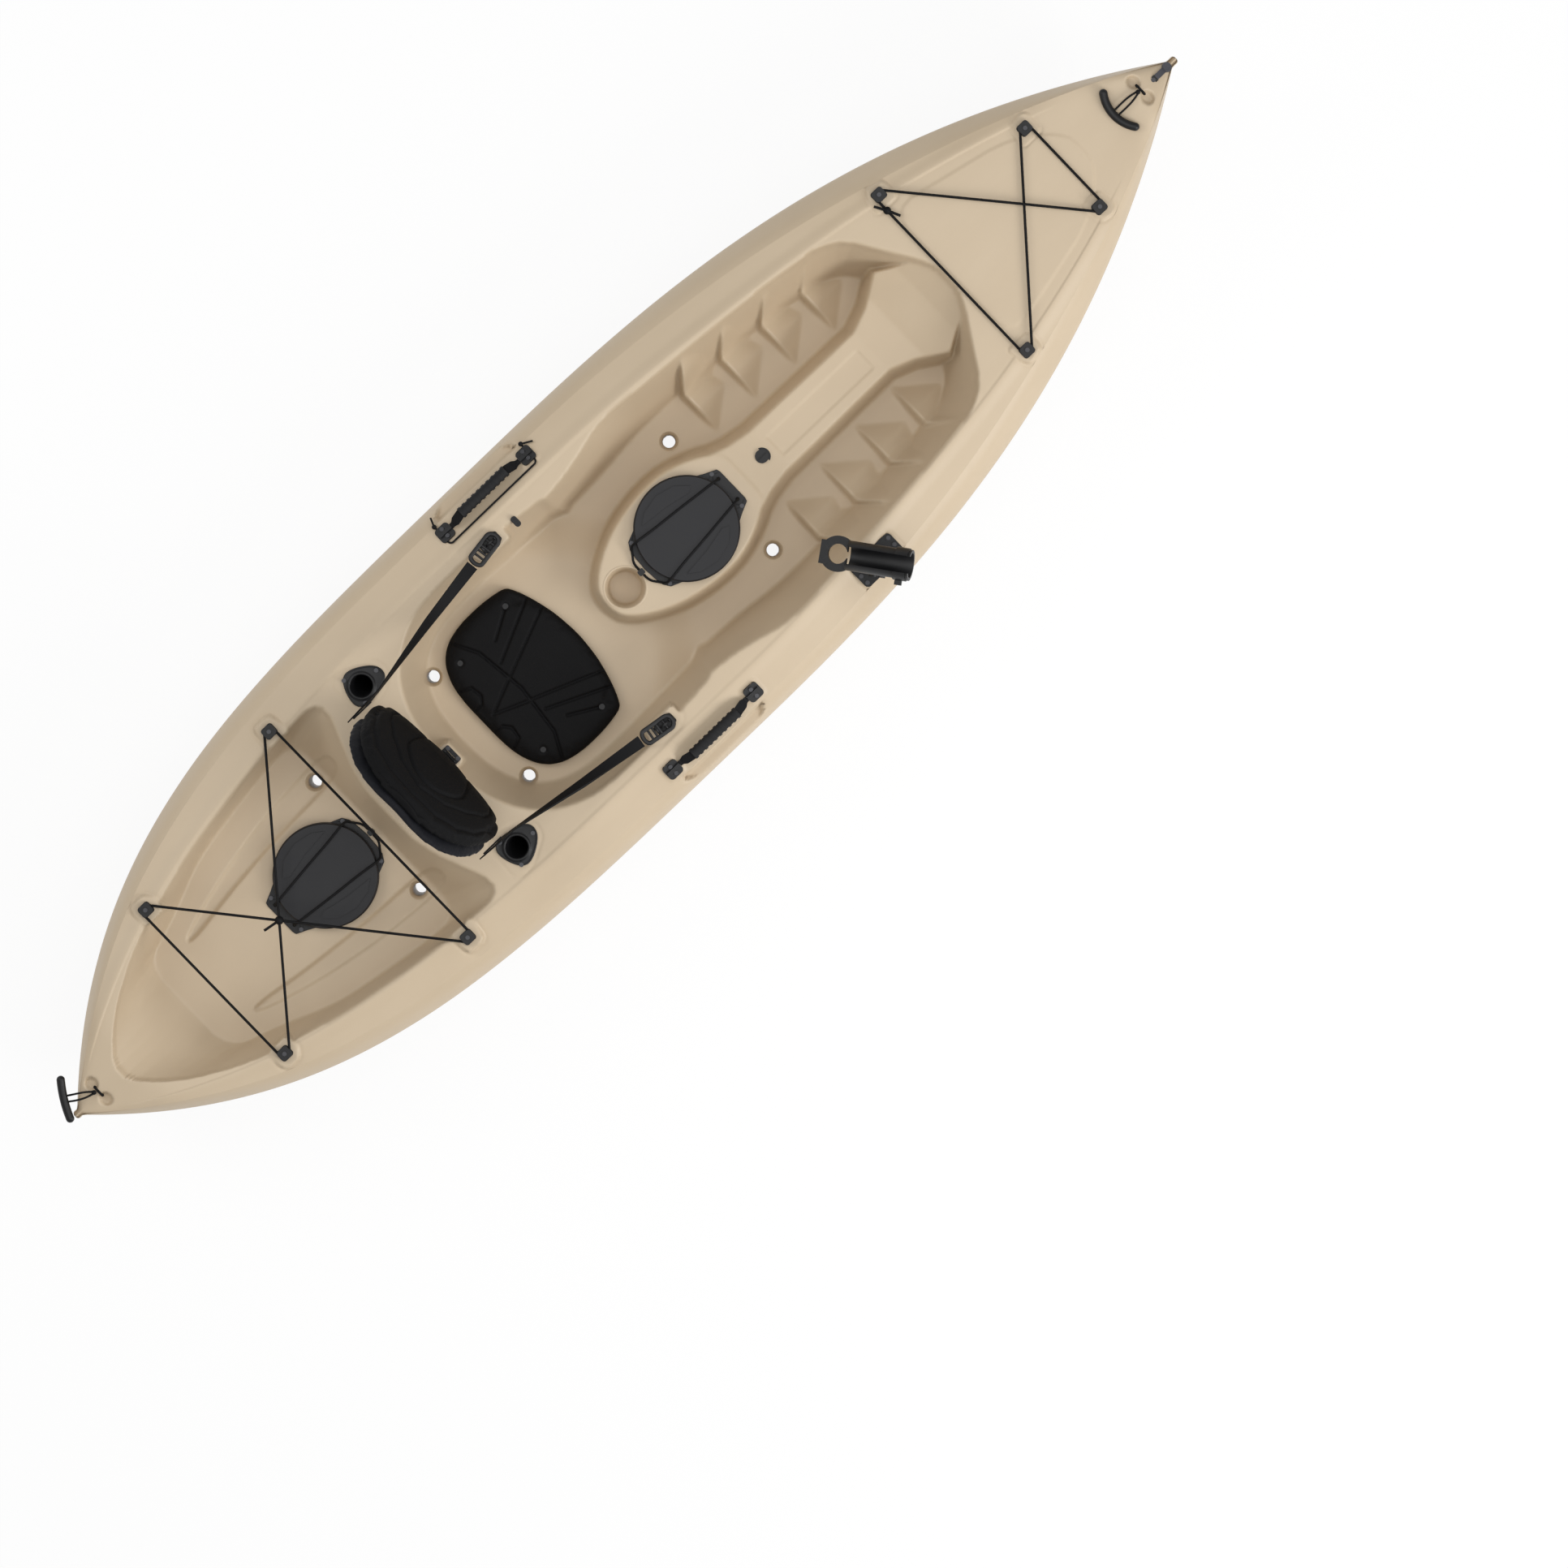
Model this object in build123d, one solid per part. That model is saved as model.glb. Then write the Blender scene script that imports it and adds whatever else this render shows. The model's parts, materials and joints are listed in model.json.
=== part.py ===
# A 10 ft sit-on-top fishing kayak with its deck fittings, each in its own solid.
# Millimetres. +X is the bow, +Y is port, +Z is up. The origin is amidships on the
# centreline, on the plane that the flat of the bottom rests on.
from build123d import *
import math
import os

os.makedirs("parts", exist_ok=True)

# Driving sizes of the hull
LENGTH = 3048.0
BEAM = 784.0
WALL = 5.0
KEEL_HALF_WIDTH = 12.0
HALF_LENGTH = LENGTH / 2
HALF_BEAM = BEAM / 2

# Fullness of the waterlines: the half breadth is 1 - |share of half length| ^ power
BOW_POWER = 2.7
STERN_POWER = 4.1
TIP_HALF_BREADTH = 9.0

# The lines plan. Each line is (share of half length, height), from stern to bow
KEEL_HEIGHT = [
    (-1.0, 272), (-0.982, 205), (-0.959, 140), (-0.932, 80), (-0.893, 22), (-0.847, 0),
    (-0.64, 0), (-0.39, 22), (-0.13, 0), (0.164, 0), (0.262, 18), (0.36, 28), (0.59, 34),
    (0.72, 41), (0.82, 52), (0.886, 76), (0.932, 122), (0.965, 182), (0.984, 236), (1.0, 296),
]
BILGE_HEIGHT = [
    (-1.0, 274), (-0.959, 190), (-0.893, 108), (-0.847, 88), (-0.64, 60), (-0.39, 23), (-0.13, 1),
    (0.164, 1), (0.36, 34), (0.59, 60), (0.82, 92), (0.886, 118), (0.932, 165), (1.0, 298),
]
CHINE_HEIGHT = [
    (-1.0, 276), (-0.959, 212), (-0.893, 148), (-0.79, 123), (-0.64, 106), (-0.39, 81), (-0.13, 75),
    (0.164, 83), (0.36, 97), (0.59, 125), (0.82, 166), (0.886, 192), (0.932, 226), (1.0, 300),
]
BEAM_HEIGHT = [
    (-1.0, 278), (-0.847, 246), (-0.64, 222), (-0.39, 214), (0.0, 213), (0.36, 224),
    (0.59, 241), (0.82, 268), (0.932, 288), (1.0, 302),
]
SHEER_HEIGHT = [
    (-1.0, 281), (-0.893, 302), (-0.79, 290), (-0.59, 278), (-0.39, 269), (0.2, 268),
    (0.36, 276), (0.47, 288), (0.72, 303), (0.82, 314), (0.886, 332), (0.932, 349),
    (0.965, 330), (1.0, 305),
]
DECK_HEIGHT = [
    (-1.0, 284), (-0.893, 309), (-0.79, 300), (-0.64, 296), (0.164, 296), (0.46, 303),
    (0.72, 313), (0.82, 319), (0.87, 328), (0.932, 355), (0.965, 338), (1.0, 308),
]
# Half breadth of each line as a share of the beam line's half breadth there
BILGE_SHARE = [(-1.0, 0.55), (-0.64, 0.52), (0.0, 0.62), (0.59, 0.46), (1.0, 0.45)]
CHINE_SHARE = [(-1.0, 0.75), (-0.64, 0.88), (0.0, 0.93), (0.59, 0.85), (1.0, 0.7)]
SHEER_SHARE = [(-1.0, 0.80), (-0.79, 0.90), (-0.35, 0.943), (0.13, 0.943), (0.39, 0.905), (0.66, 0.84),
               (1.0, 0.83)]
DECK_SHARE = [(-1.0, 0.66), (-0.79, 0.70), (-0.35, 0.727), (0.13, 0.727), (0.36, 0.69), (1.0, 0.69)]
# The skeg under the stern: how far the garboard stands above the keel, and out from it
SKEG_RISE = [(-1.0, 1), (-0.90, 22), (-0.82, 52), (-0.64, 42), (-0.39, 1), (0.36, 2), (0.82, 9), (1.0, 1)]
SKEG_HALF_WIDTH = 46.0
STATIONS = [
    -1.0, -0.982, -0.959, -0.932, -0.893, -0.847, -0.79, -0.64, -0.52, -0.39, -0.13, 0.164, 0.262,
    0.36, 0.47, 0.59, 0.72, 0.82, 0.886, 0.932, 0.965, 0.984, 1.0,
]


def along(line, x):
    """Height or share on one line of the plan at x, straight between its points."""
    share = min(max(x / HALF_LENGTH, -1.0), 1.0)
    for (s0, v0), (s1, v1) in zip(line, line[1:]):
        if share <= s1:
            return v0 + (v1 - v0) * (share - s0) / (s1 - s0)
    return line[-1][1]


def beam_at(x):
    """Half breadth of the beam line at x."""
    power = BOW_POWER if x > 0 else STERN_POWER
    return max(HALF_BEAM * (1 - abs(x / HALF_LENGTH) ** power), TIP_HALF_BREADTH)


def deck_y(x):
    return beam_at(x) * along(DECK_SHARE, x)


def sheer_y(x):
    return beam_at(x) * along(SHEER_SHARE, x)


def deck_z(x):
    return along(DECK_HEIGHT, x)


def half_section(x):
    """Corners of the port half of the section at x, from the keel round to the deck."""
    half = beam_at(x)
    keel = min(KEEL_HALF_WIDTH, half * 0.3)
    bilge = half * along(BILGE_SHARE, x)
    garboard = min(SKEG_HALF_WIDTH, bilge * 0.8)
    keel_z = along(KEEL_HEIGHT, x)
    garboard_z = keel_z + along(SKEG_RISE, x)
    bilge_z = max(along(BILGE_HEIGHT, x), garboard_z + 1)
    chine_z = max(along(CHINE_HEIGHT, x), bilge_z + 2)
    beam_z = max(along(BEAM_HEIGHT, x), chine_z + 2)
    return [
        (keel, keel_z),
        (garboard, garboard_z),
        (bilge, bilge_z),
        (half * along(CHINE_SHARE, x), chine_z),
        (half, beam_z),
        (sheer_y(x), max(along(SHEER_HEIGHT, x), beam_z + 2)),
        (deck_y(x), deck_z(x)),
    ]


def moved_out(points, distance):
    """A closed outline, anticlockwise, with every side moved outwards by a distance."""
    if distance == 0:
        return list(points)
    moved = []
    for before, here, after in zip(points[-1:] + points[:-1], points, points[1:] + points[:1]):
        a, b, c = Vector(*before), Vector(*here), Vector(*after)
        first = (b - a).normalized()
        second = (c - b).normalized()
        out = Vector(first.Y + second.Y, -first.X - second.X)
        share = 1 + first.dot(second)
        moved.append((b.X + out.X * distance / share, b.Y + out.Y * distance / share))
    return moved


def both_sides(half):
    """A closed outline, anticlockwise, from its half on the side where y is positive or 0."""
    mirrored = [(x, -y) for x, y in half if y > 0]
    outline = list(half) + mirrored[::-1]
    area = sum(a[0] * b[1] - b[0] * a[1] for a, b in zip(outline, outline[1:] + outline[:1]))
    return outline if area > 0 else outline[::-1]


def flat(outline, z):
    """A level face with straight sides."""
    return make_face(Polyline([(x, y, z) for x, y in outline], close=True))


def hull_body(inset):
    """The hull without its wells, with every side moved in by inset."""
    faces = []
    for share in STATIONS:
        x = share * HALF_LENGTH
        if beam_at(x) < 10 * inset:
            continue
        half = half_section(x)
        ring = [(y, z) for y, z in half] + [(-y, z) for y, z in reversed(half)]
        ring = moved_out(ring, -inset)
        faces.append(make_face(Polyline([(x, y, z) for y, z in ring], close=True)))
    return loft(faces, ruled=True)


def tapered(low_half, low_z, high_half, high_z, grow, rise=0.0):
    """A block between two mirrored outlines, grown by a distance, with straight sides at its top."""
    low = flat(moved_out(both_sides(low_half), grow), low_z - grow)
    high = flat(moved_out(both_sides(high_half), grow), high_z)
    block = loft([low, high], ruled=True)
    return block + extrude(high, rise) if rise else block


def block(x, y, z):
    """A box between its two limits along each axis."""
    middle = Pos((x[0] + x[1]) / 2, (y[0] + y[1]) / 2, (z[0] + z[1]) / 2)
    return middle * Box(x[1] - x[0], y[1] - y[0], z[1] - z[0])


def post(x, y, z, radius, height):
    """An upright cylinder that stands on z."""
    return Pos(x, y, z + height / 2) * Cylinder(radius, height)


# Wells and raised forms of the deck. RIM_HEIGHT is just under the lowest deck
RIM_HEIGHT = 288.0
TANK_FLOOR = 175.0
SEAT_FLOOR = 125.0
FOOT_FLOOR = 95.0
PEDESTAL_HEIGHT = 215.0
SPINE_HEIGHT = 200.0
PLATFORM_HEIGHT = 230.0
ABOVE_DECK = 120.0
RIM_INSET = 7.0
TROUGH_DEPTH = 8.0

# Hatches, cup recess and drain plug, along the centreline
FRONT_HATCH_X = 175.0
REAR_HATCH_X = -838.0
HATCH_HOLE_RADIUS = 92.0
CUP_X = 3.0
CUP_RADIUS = 36.0
CUP_DEPTH = 60.0
CENTRE_PLUG_X = 385.0
CENTRE_PLUG_HOLE_RADIUS = 12.0

# Scuppers: drain holes right through the hull
SCUPPER_RADIUS = 13.0
SCUPPER_FUNNEL = 8.0
SCUPPERS = [(272.0, 153.0, FOOT_FLOOR), (-405.0, 140.0, SEAT_FLOOR),
            (-723.0, 152.0, TANK_FLOOR - TROUGH_DEPTH)]

# Foot braces: four wedges in each foot well
FOOT_BRACE_FIRST_X = 352.0
FOOT_BRACE_PITCH = 104.5
FOOT_BRACE_COUNT = 4
FOOT_BRACE_HEIGHT = 42.0
FOOT_BRACE_LENGTH = 78.0
FOOT_BRACE_INNER_Y = 98.0


def rim_y(x):
    """Half width of a well's rim at x, just inside the edge of the deck."""
    return deck_y(x) - RIM_INSET


def tank_well(grow):
    """The open well behind the seat, with a sloping end under the stern deck."""
    low = [(-1225, 0), (-1225, 122), (-1120, 152), (-1000, 205), (-800, 238), (-690, 240), (-690, 0)]
    high = [(-1417, 0), (-1330, 92), (-1200, rim_y(-1200)), (-1000, rim_y(-1000)),
            (-800, rim_y(-800)), (-600, rim_y(-600) - 12), (-655, 0)]
    well = tapered(low, TANK_FLOOR, high, RIM_HEIGHT, grow, ABOVE_DECK)
    outline = [(-1130, 90), (-1000, 110), (-850, 124), (-690, 130), (-662, 144), (-662, 170),
               (-690, 182), (-850, 170), (-1000, 143), (-1130, 106)]
    for side in (1, -1):
        trough = [(x, side * y) for x, y in outline][::side]
        trough = flat(moved_out(trough, grow), TANK_FLOOR - TROUGH_DEPTH - grow)
        well += extrude(trough, TROUGH_DEPTH + grow)
    return well


def seat_well(grow):
    low = [(-455, 0), (-445, 100), (-400, 172), (-330, 212), (-230, 218), (-90, 208), (20, 200), (20, 0)]
    high = [(-497, 0), (-490, 100), (-430, 190), (-340, 250), (-230, 254), (-90, 234), (20, 234), (20, 0)]
    return tapered(low, SEAT_FLOOR, high, RIM_HEIGHT, grow, ABOVE_DECK)


def foot_well(grow):
    low = [(0, 0), (0, 190), (130, 197), (230, 214), (345, 212), (600, 198), (715, 180), (750, 95), (750, 0)]
    high = [(-60, 0), (-60, 233), (50, 238), (120, 252), (200, rim_y(200)), (600, rim_y(600)),
            (783, rim_y(783)), (870, 60), (895, 0)]
    return tapered(low, FOOT_FLOOR, high, RIM_HEIGHT, grow, ABOVE_DECK)


def raised(shrink):
    """What stands up inside the wells: pedestal, spine, front platform and foot braces."""
    bottom = FOOT_FLOOR - 25
    pedestal = tapered(
        [(-62, 0), (-42, 62), (60, 116), (FRONT_HATCH_X, 138), (262, 122), (338, 84), (338, 0)], bottom,
        [(-44, 0), (-30, 50), (60, 100), (FRONT_HATCH_X, 121), (257, 106), (332, 66), (332, 0)],
        PEDESTAL_HEIGHT - shrink, -shrink)
    spine = tapered([(300, 0), (300, 76), (770, 76), (770, 0)], bottom,
                    [(300, 0), (300, 52), (770, 52), (770, 0)], SPINE_HEIGHT - shrink, -shrink)
    platform = tapered([(700, 0), (700, 84), (900, 118), (900, 0)], bottom,
                       [(735, 0), (735, 62), (880, 104), (880, 0)], PLATFORM_HEIGHT - shrink, -shrink)
    forms = pedestal + spine + platform
    outer_y = rim_y(FOOT_BRACE_FIRST_X) - 22
    for number in range(FOOT_BRACE_COUNT):
        x = FOOT_BRACE_FIRST_X + number * FOOT_BRACE_PITCH
        profile = [(x, bottom), (x + FOOT_BRACE_LENGTH, bottom), (x + FOOT_BRACE_LENGTH, FOOT_FLOOR + 3),
                   (x + 12, FOOT_FLOOR + FOOT_BRACE_HEIGHT), (x, FOOT_FLOOR + FOOT_BRACE_HEIGHT - 4)]
        profile = moved_out(profile, -shrink)
        for side in (1, -1):
            y = side * (FOOT_BRACE_INNER_Y + shrink)
            width = side * (outer_y - number * 12 - FOOT_BRACE_INNER_Y - shrink)
            face = make_face(Polyline([(px, y, pz) for px, pz in profile], close=True))
            forms += extrude(face, abs(width), dir=(0, math.copysign(1, width), 0))
    return forms


# Clearances that pieces on different bodies keep
GAP = 0.3
RUNNING_GAP = 0.05

# Screws: one pan head for every fitting
SCREW_RADIUS = 2.2
SCREW_HOLE_RADIUS = 2.3
SCREW_HEAD_RADIUS = 4.5
SCREW_HEAD_HEIGHT = 2.6
SCREW_LENGTH = 14.0
SEAT_RISE = 2.0
SEAT_DEPTH = 16.0

# Lashing hooks at the corners of the two crossed shock cords
HOOK_BASE = (28.0, 26.0, 3.0)
HOOK_STEM_RADIUS = 6.5
HOOK_HEAD = (26.0, 24.0, 4.0)
SHOCK_RADIUS = 2.75
HOOK_STEM_HEIGHT = 2 * SHOCK_RADIUS + 3.5
HOOK_MARGIN = 24.0
FRONT_HOOKS = [(912.0, 214.0), (1213.0, 108.0)]
REAR_HOOKS = [(-709.0, 286.0), (-1135.0, 200.0)]

# Side carry handles, set square to the sloping rail
HANDLE_X = (-180.0, 44.0)
HANDLE_Y = 327.0
HANDLE_PLATE = (34.0, 34.0, 6.0)
HANDLE_STRAP = (20.0, 2.6)
HANDLE_RISE = 22.0
GRIP_RADIUS = 12.0
GRIP_LENGTH = 124.0
GRIP_RIBS = 9
GRIP_RIB_DEPTH = 1.6
SCOOP_X = (-195.0, 60.0)
SCOOP_Z = 248.0
SCOOP_Y = 352.0

# Seat
PAD_THICKNESS = 30.0
PAD_GROOVE = 5.0
RIVET_RADIUS = 3.0
RIVET_HEAD_RADIUS = 6.0
RIVET_HEAD_HEIGHT = 2.5
RIVETS = [(-345.0, 121.0), (-199.0, 141.0)]
BACK_PIVOT_X = -484.0
BACK_PIVOT_RISE = 6.0
BACK_PIN_RADIUS = 2.5
BACK_PAD_SHARE = 0.58
STRAP_EYE = (-128.0, 252.0)
STRAP_WIDTH = 25.0
STRAP_THICKNESS = 2.4

# Flush rod holders
FLUSH_X = -513.0
FLUSH_Y = 224.0
FLUSH_BORE_RADIUS = 21.0
FLUSH_TUBE_WALL = 3.0
FLUSH_DEPTH = 190.0
FLUSH_LEAN = 25.0
FLUSH_FLANGE = 4.0
FLUSH_SCREWS = [(-18.0, 32.0), (43.0, 2.0), (-18.0, -30.0)]

# Adjustable rod holder on the starboard rail
ROD_X = 407.0
ROD_Y = -311.0
ROD_SEAT_Z = 284.0
ROD_BASE = (108.0, 55.0, 8.0)
ROD_YAW = -53.0
ROD_PITCH = 13.0
ROD_SOCKET_RADIUS = 19.0
ROD_SOCKET_HEIGHT = 46.0
ROD_SPIGOT_RADIUS = 13.0
ROD_SPIGOT_LENGTH = 38.0
ROD_PIVOT_HEIGHT = 88.0
ROD_LUG_WIDTH = 16.0
ROD_EAR_WIDTH = 9.0
ROD_BOLT_RADIUS = 4.0
ROD_KNOB_RADIUS = 17.0
ROD_KNOB_WIDTH = 16.0
ROD_TUBE_HEIGHT = 62.0
ROD_TUBE_RADIUS = 30.0
ROD_TUBE_WALL = 5.0
ROD_TROUGH = (-52.0, 72.0)
ROD_LOOP_RADIUS = 36.0
ROD_LOOP_HOLE_RADIUS = 20.0
ROD_LOOP_THICKNESS = 13.0

# Hatches
HATCH_FLANGE = 4.0
HATCH_NECK_WALL = 3.5
HATCH_NECK_DEPTH = 14.0
HATCH_COLLAR_HEIGHT = 12.0
LID_RADIUS = 107.0
LID_WALL = 3.5
GASKET_HEIGHT = 2.5
HATCH_HINGE = 115.0
HATCH_CORD_RADIUS = 2.5
HATCH_KNOT_RADIUS = 4.0
HATCH_SCREWS = [(112.0, 44.0), (-101.0, 56.0)]

# Toggles and plugs at the ends
BOW_BRIDGE_X = 1430.0
STERN_BRIDGE_X = -1458.0
BRIDGE_Y = 4.0
BRIDGE_HALF_WIDTH = 9.0
POCKET_RADIUS = 10.0
POCKET_DEPTH = 13.0
LOOP_RADIUS = 2.5
BOW_PLUG_X = 1500.0
BOW_TETHER_X = 1463.0
BOW_PLUG_RADIUS = 8.0


def rail_plane(x, side):
    """The middle of the sloping rail at x on one side: x along the boat, z square to the rail."""
    inner, outer = Vector(0, deck_y(x), deck_z(x)), Vector(0, sheer_y(x), along(SHEER_HEIGHT, x))
    down = (outer - inner).normalized()
    share = (HANDLE_Y - inner.Y) / (outer.Y - inner.Y)
    middle = inner + (outer - inner) * share
    normal = Vector(0, side * -down.Z, down.Y)
    return Plane(origin=(x, side * middle.Y, middle.Z), x_dir=(1, 0, 0), z_dir=normal)


HANDLE_MIDDLE = sum(HANDLE_X) / 2
HANDLE_PLANES = {side: rail_plane(HANDLE_MIDDLE, side) for side in (1, -1)}


def hook_seats():
    """Where every lashing hook sits: (x, y, height of its seat)."""
    return [(x, side * y, deck_z(x) + SEAT_RISE) for x, y in FRONT_HOOKS + REAR_HOOKS for side in (1, -1)]


def wells(grow):
    cuts = tank_well(grow) + seat_well(grow) + foot_well(grow)
    for side in (1, -1):
        y = sorted((side * (SCOOP_Y - grow), side * (HALF_BEAM + 20)))
        low = [(SCOOP_X[0] + 45 - grow, y[0]), (SCOOP_X[1] - 45 + grow, y[0]),
               (SCOOP_X[1] - 45 + grow, y[1]), (SCOOP_X[0] + 45 - grow, y[1])]
        high = [(SCOOP_X[0] - grow, y[0]), (SCOOP_X[1] + grow, y[0]),
                (SCOOP_X[1] + grow, y[1]), (SCOOP_X[0] - grow, y[1])]
        cuts += loft([flat(low, SCOOP_Z - grow), flat(high, SCOOP_Z + 36)], ruled=True)
        half_x, half_y = ROD_BASE[0] / 2 + GAP + grow, ROD_BASE[1] / 2 + GAP + grow
    cuts += block((ROD_X - half_x, ROD_X + half_x), (ROD_Y - half_y, ROD_Y + half_y),
                  (ROD_SEAT_Z - grow, ROD_SEAT_Z + 40))
    return cuts


def skin(inset):
    """The whole form of the hull, with every wall moved in by inset."""
    body = hull_body(inset) - wells(inset) + raised(inset)
    return body - post(CUP_X, 0, PEDESTAL_HEIGHT - CUP_DEPTH - inset, CUP_RADIUS + inset,
                       CUP_DEPTH + ABOVE_DECK)


def seats():
    """Thickened seats with level tops, moulded into the deck under the fittings."""
    forms = []
    for x, y, z in hook_seats():
        forms.append(block((x - HOOK_MARGIN, x + HOOK_MARGIN), (y - HOOK_MARGIN, y + HOOK_MARGIN),
                           (z - SEAT_DEPTH, z)))
    for side in (1, -1):
        for x in HANDLE_X:
            half = HANDLE_PLATE[0] / 2 + 4
            seat = block((x - HANDLE_MIDDLE - half, x - HANDLE_MIDDLE + half), (-half, half),
                         (-SEAT_DEPTH, SEAT_RISE))
            forms.append(HANDLE_PLANES[side].location * seat)
        x, y = STRAP_EYE
        forms.append(block((x - 26, x + 26), (side * y - 17, side * y + 17),
                           (deck_z(x) - SEAT_DEPTH, deck_z(x))))
        z = deck_z(FLUSH_X)
        forms.append(block((FLUSH_X - 50, FLUSH_X + 60), (side * FLUSH_Y - 46, side * FLUSH_Y + 46),
                           (z - 8, z)))
        for bore_x, bore_y in HATCH_SCREWS:
            forms.append(post(FRONT_HATCH_X + bore_x, side * bore_y, PEDESTAL_HEIGHT - SEAT_DEPTH, 7,
                              SEAT_DEPTH))
            forms.append(post(REAR_HATCH_X - bore_x, side * bore_y, TANK_FLOOR - SEAT_DEPTH, 7, SEAT_DEPTH))
        for x, y in RIVETS:
            forms.append(post(x, side * y, SEAT_FLOOR - SEAT_DEPTH, 7, SEAT_DEPTH))
    z = deck_z(BACK_PIVOT_X)
    forms.append(block((BACK_PIVOT_X - 14, BACK_PIVOT_X + 16), (-26, 26), (z - SEAT_DEPTH, z)))
    forms.append(block((ROD_X - ROD_BASE[0] / 2, ROD_X + ROD_BASE[0] / 2),
                       (ROD_Y - ROD_BASE[1] / 2, ROD_Y + ROD_BASE[1] / 2),
                       (ROD_SEAT_Z - SEAT_DEPTH, ROD_SEAT_Z)))
    return forms


FLUSH_SEAT_Z = deck_z(FLUSH_X)
BACK_SEAT_Z = deck_z(BACK_PIVOT_X)
BACK_PIVOT_Z = BACK_SEAT_Z + BACK_PIVOT_RISE
EYE_PLATE = (46.0, 24.0, 3.0)
CLIP_PLATE = (24.0, 40.0, 2.5)
CLIP_SCREW = (9.3, 14.0)
TETHER_THICKNESS = 2.0
BOW_TETHER_Z = deck_z(BOW_TETHER_X + 9)
BOW_SLOPE = math.degrees(math.atan2(deck_z(BOW_PLUG_X - 10) - deck_z(BOW_PLUG_X + 10), 20))
BOW_PLUG_PLACE = Pos(BOW_PLUG_X, 0, deck_z(BOW_PLUG_X)) * Rot(0, BOW_SLOPE, 0)
ROD_SCREWS = [(side * 46.0, y) for side in (-1, 1) for y in (-18.0, 0.0, 18.0)]


def fixings():
    """Every screw: the location of the seat under it and the thickness of what it holds down."""
    deck, flush, rod, hatch = [], [], [], []
    for x, y, z in hook_seats():
        deck.append((Pos(x, y, z), HOOK_BASE[2] + HOOK_STEM_HEIGHT + HOOK_HEAD[2]))
    for side in (1, -1):
        for x in HANDLE_X:
            for y in (-9, 9):
                deck.append((HANDLE_PLANES[side].location * Pos(x - HANDLE_MIDDLE, y, SEAT_RISE),
                             HANDLE_PLATE[2]))
        for x in (-16, 16):
            deck.append((Pos(STRAP_EYE[0] + x, side * STRAP_EYE[1], deck_z(STRAP_EYE[0])), EYE_PLATE[2]))
        deck.append((Pos(BACK_PIVOT_X + CLIP_SCREW[0], side * CLIP_SCREW[1], BACK_SEAT_Z), CLIP_PLATE[2]))
        for x, y in FLUSH_SCREWS:
            flush.append((Pos(FLUSH_X + x, side * (FLUSH_Y + y), FLUSH_SEAT_Z), FLUSH_FLANGE))
        for x, y in HATCH_SCREWS:
            hatch.append((Pos(FRONT_HATCH_X + x, side * y, PEDESTAL_HEIGHT), HATCH_FLANGE))
            hatch.append((Pos(REAR_HATCH_X - x, side * y, TANK_FLOOR), HATCH_FLANGE))
    deck.append((Pos(BOW_TETHER_X, 0, BOW_TETHER_Z), TETHER_THICKNESS))
    for x, y in ROD_SCREWS:
        rod.append((Pos(ROD_X + x, ROD_Y + y, ROD_SEAT_Z), ROD_BASE[2]))
    return deck, flush, rod, hatch


def screw(length):
    """A pan head screw that stands on z = 0, with its shank below."""
    return post(0, 0, 0, SCREW_HEAD_RADIUS, SCREW_HEAD_HEIGHT) + post(0, 0, -length, SCREW_RADIUS, length)


def screws(sites):
    return [place * Pos(0, 0, held) * screw(held + SCREW_LENGTH) for place, held in sites]


def flush_axis(side):
    """The leaning axis of a flush rod holder, whose z points up and aft out of its mouth."""
    return Pos(FLUSH_X, side * FLUSH_Y, FLUSH_SEAT_Z) * Rot(0, -FLUSH_LEAN, 0)


def bridge_pockets(x):
    """Two finger pockets with a tunnel between them, which leave a bridge for the handle's cord."""
    top = deck_z(x)
    tunnel = Cylinder(3.6, 2 * (BRIDGE_HALF_WIDTH + POCKET_RADIUS))
    cut = Pos(x, BRIDGE_Y, top - POCKET_DEPTH + 4) * Rot(90, 0, 0) * tunnel
    for side in (1, -1):
        y = BRIDGE_Y + side * (BRIDGE_HALF_WIDTH + POCKET_RADIUS)
        cut += post(x, y, top - POCKET_DEPTH, POCKET_RADIUS, POCKET_DEPTH + ABOVE_DECK)
    return cut


# The deck shell meets the bottom shell this far under the beam line
SEAM_DROP = 3.0
BOSS_MARGIN = 2.0


def deck_region():
    """The space of the deck shell: above the seam, and round the wells with their bosses."""
    ends = HALF_LENGTH + 10
    line = [(share * HALF_LENGTH, height - SEAM_DROP) for share, height in BEAM_HEIGHT]
    line = [(-ends, line[0][1]), *line, (ends, line[-1][1]), (ends, RIM_HEIGHT + ABOVE_DECK),
            (-ends, RIM_HEIGHT + ABOVE_DECK)]
    side = make_face(Polyline([(x, -HALF_BEAM - 10, z) for x, z in line], close=True))
    return extrude(side, BEAM + 20, dir=(0, 1, 0)) + wells(SEAT_DEPTH + BOSS_MARGIN)


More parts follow.
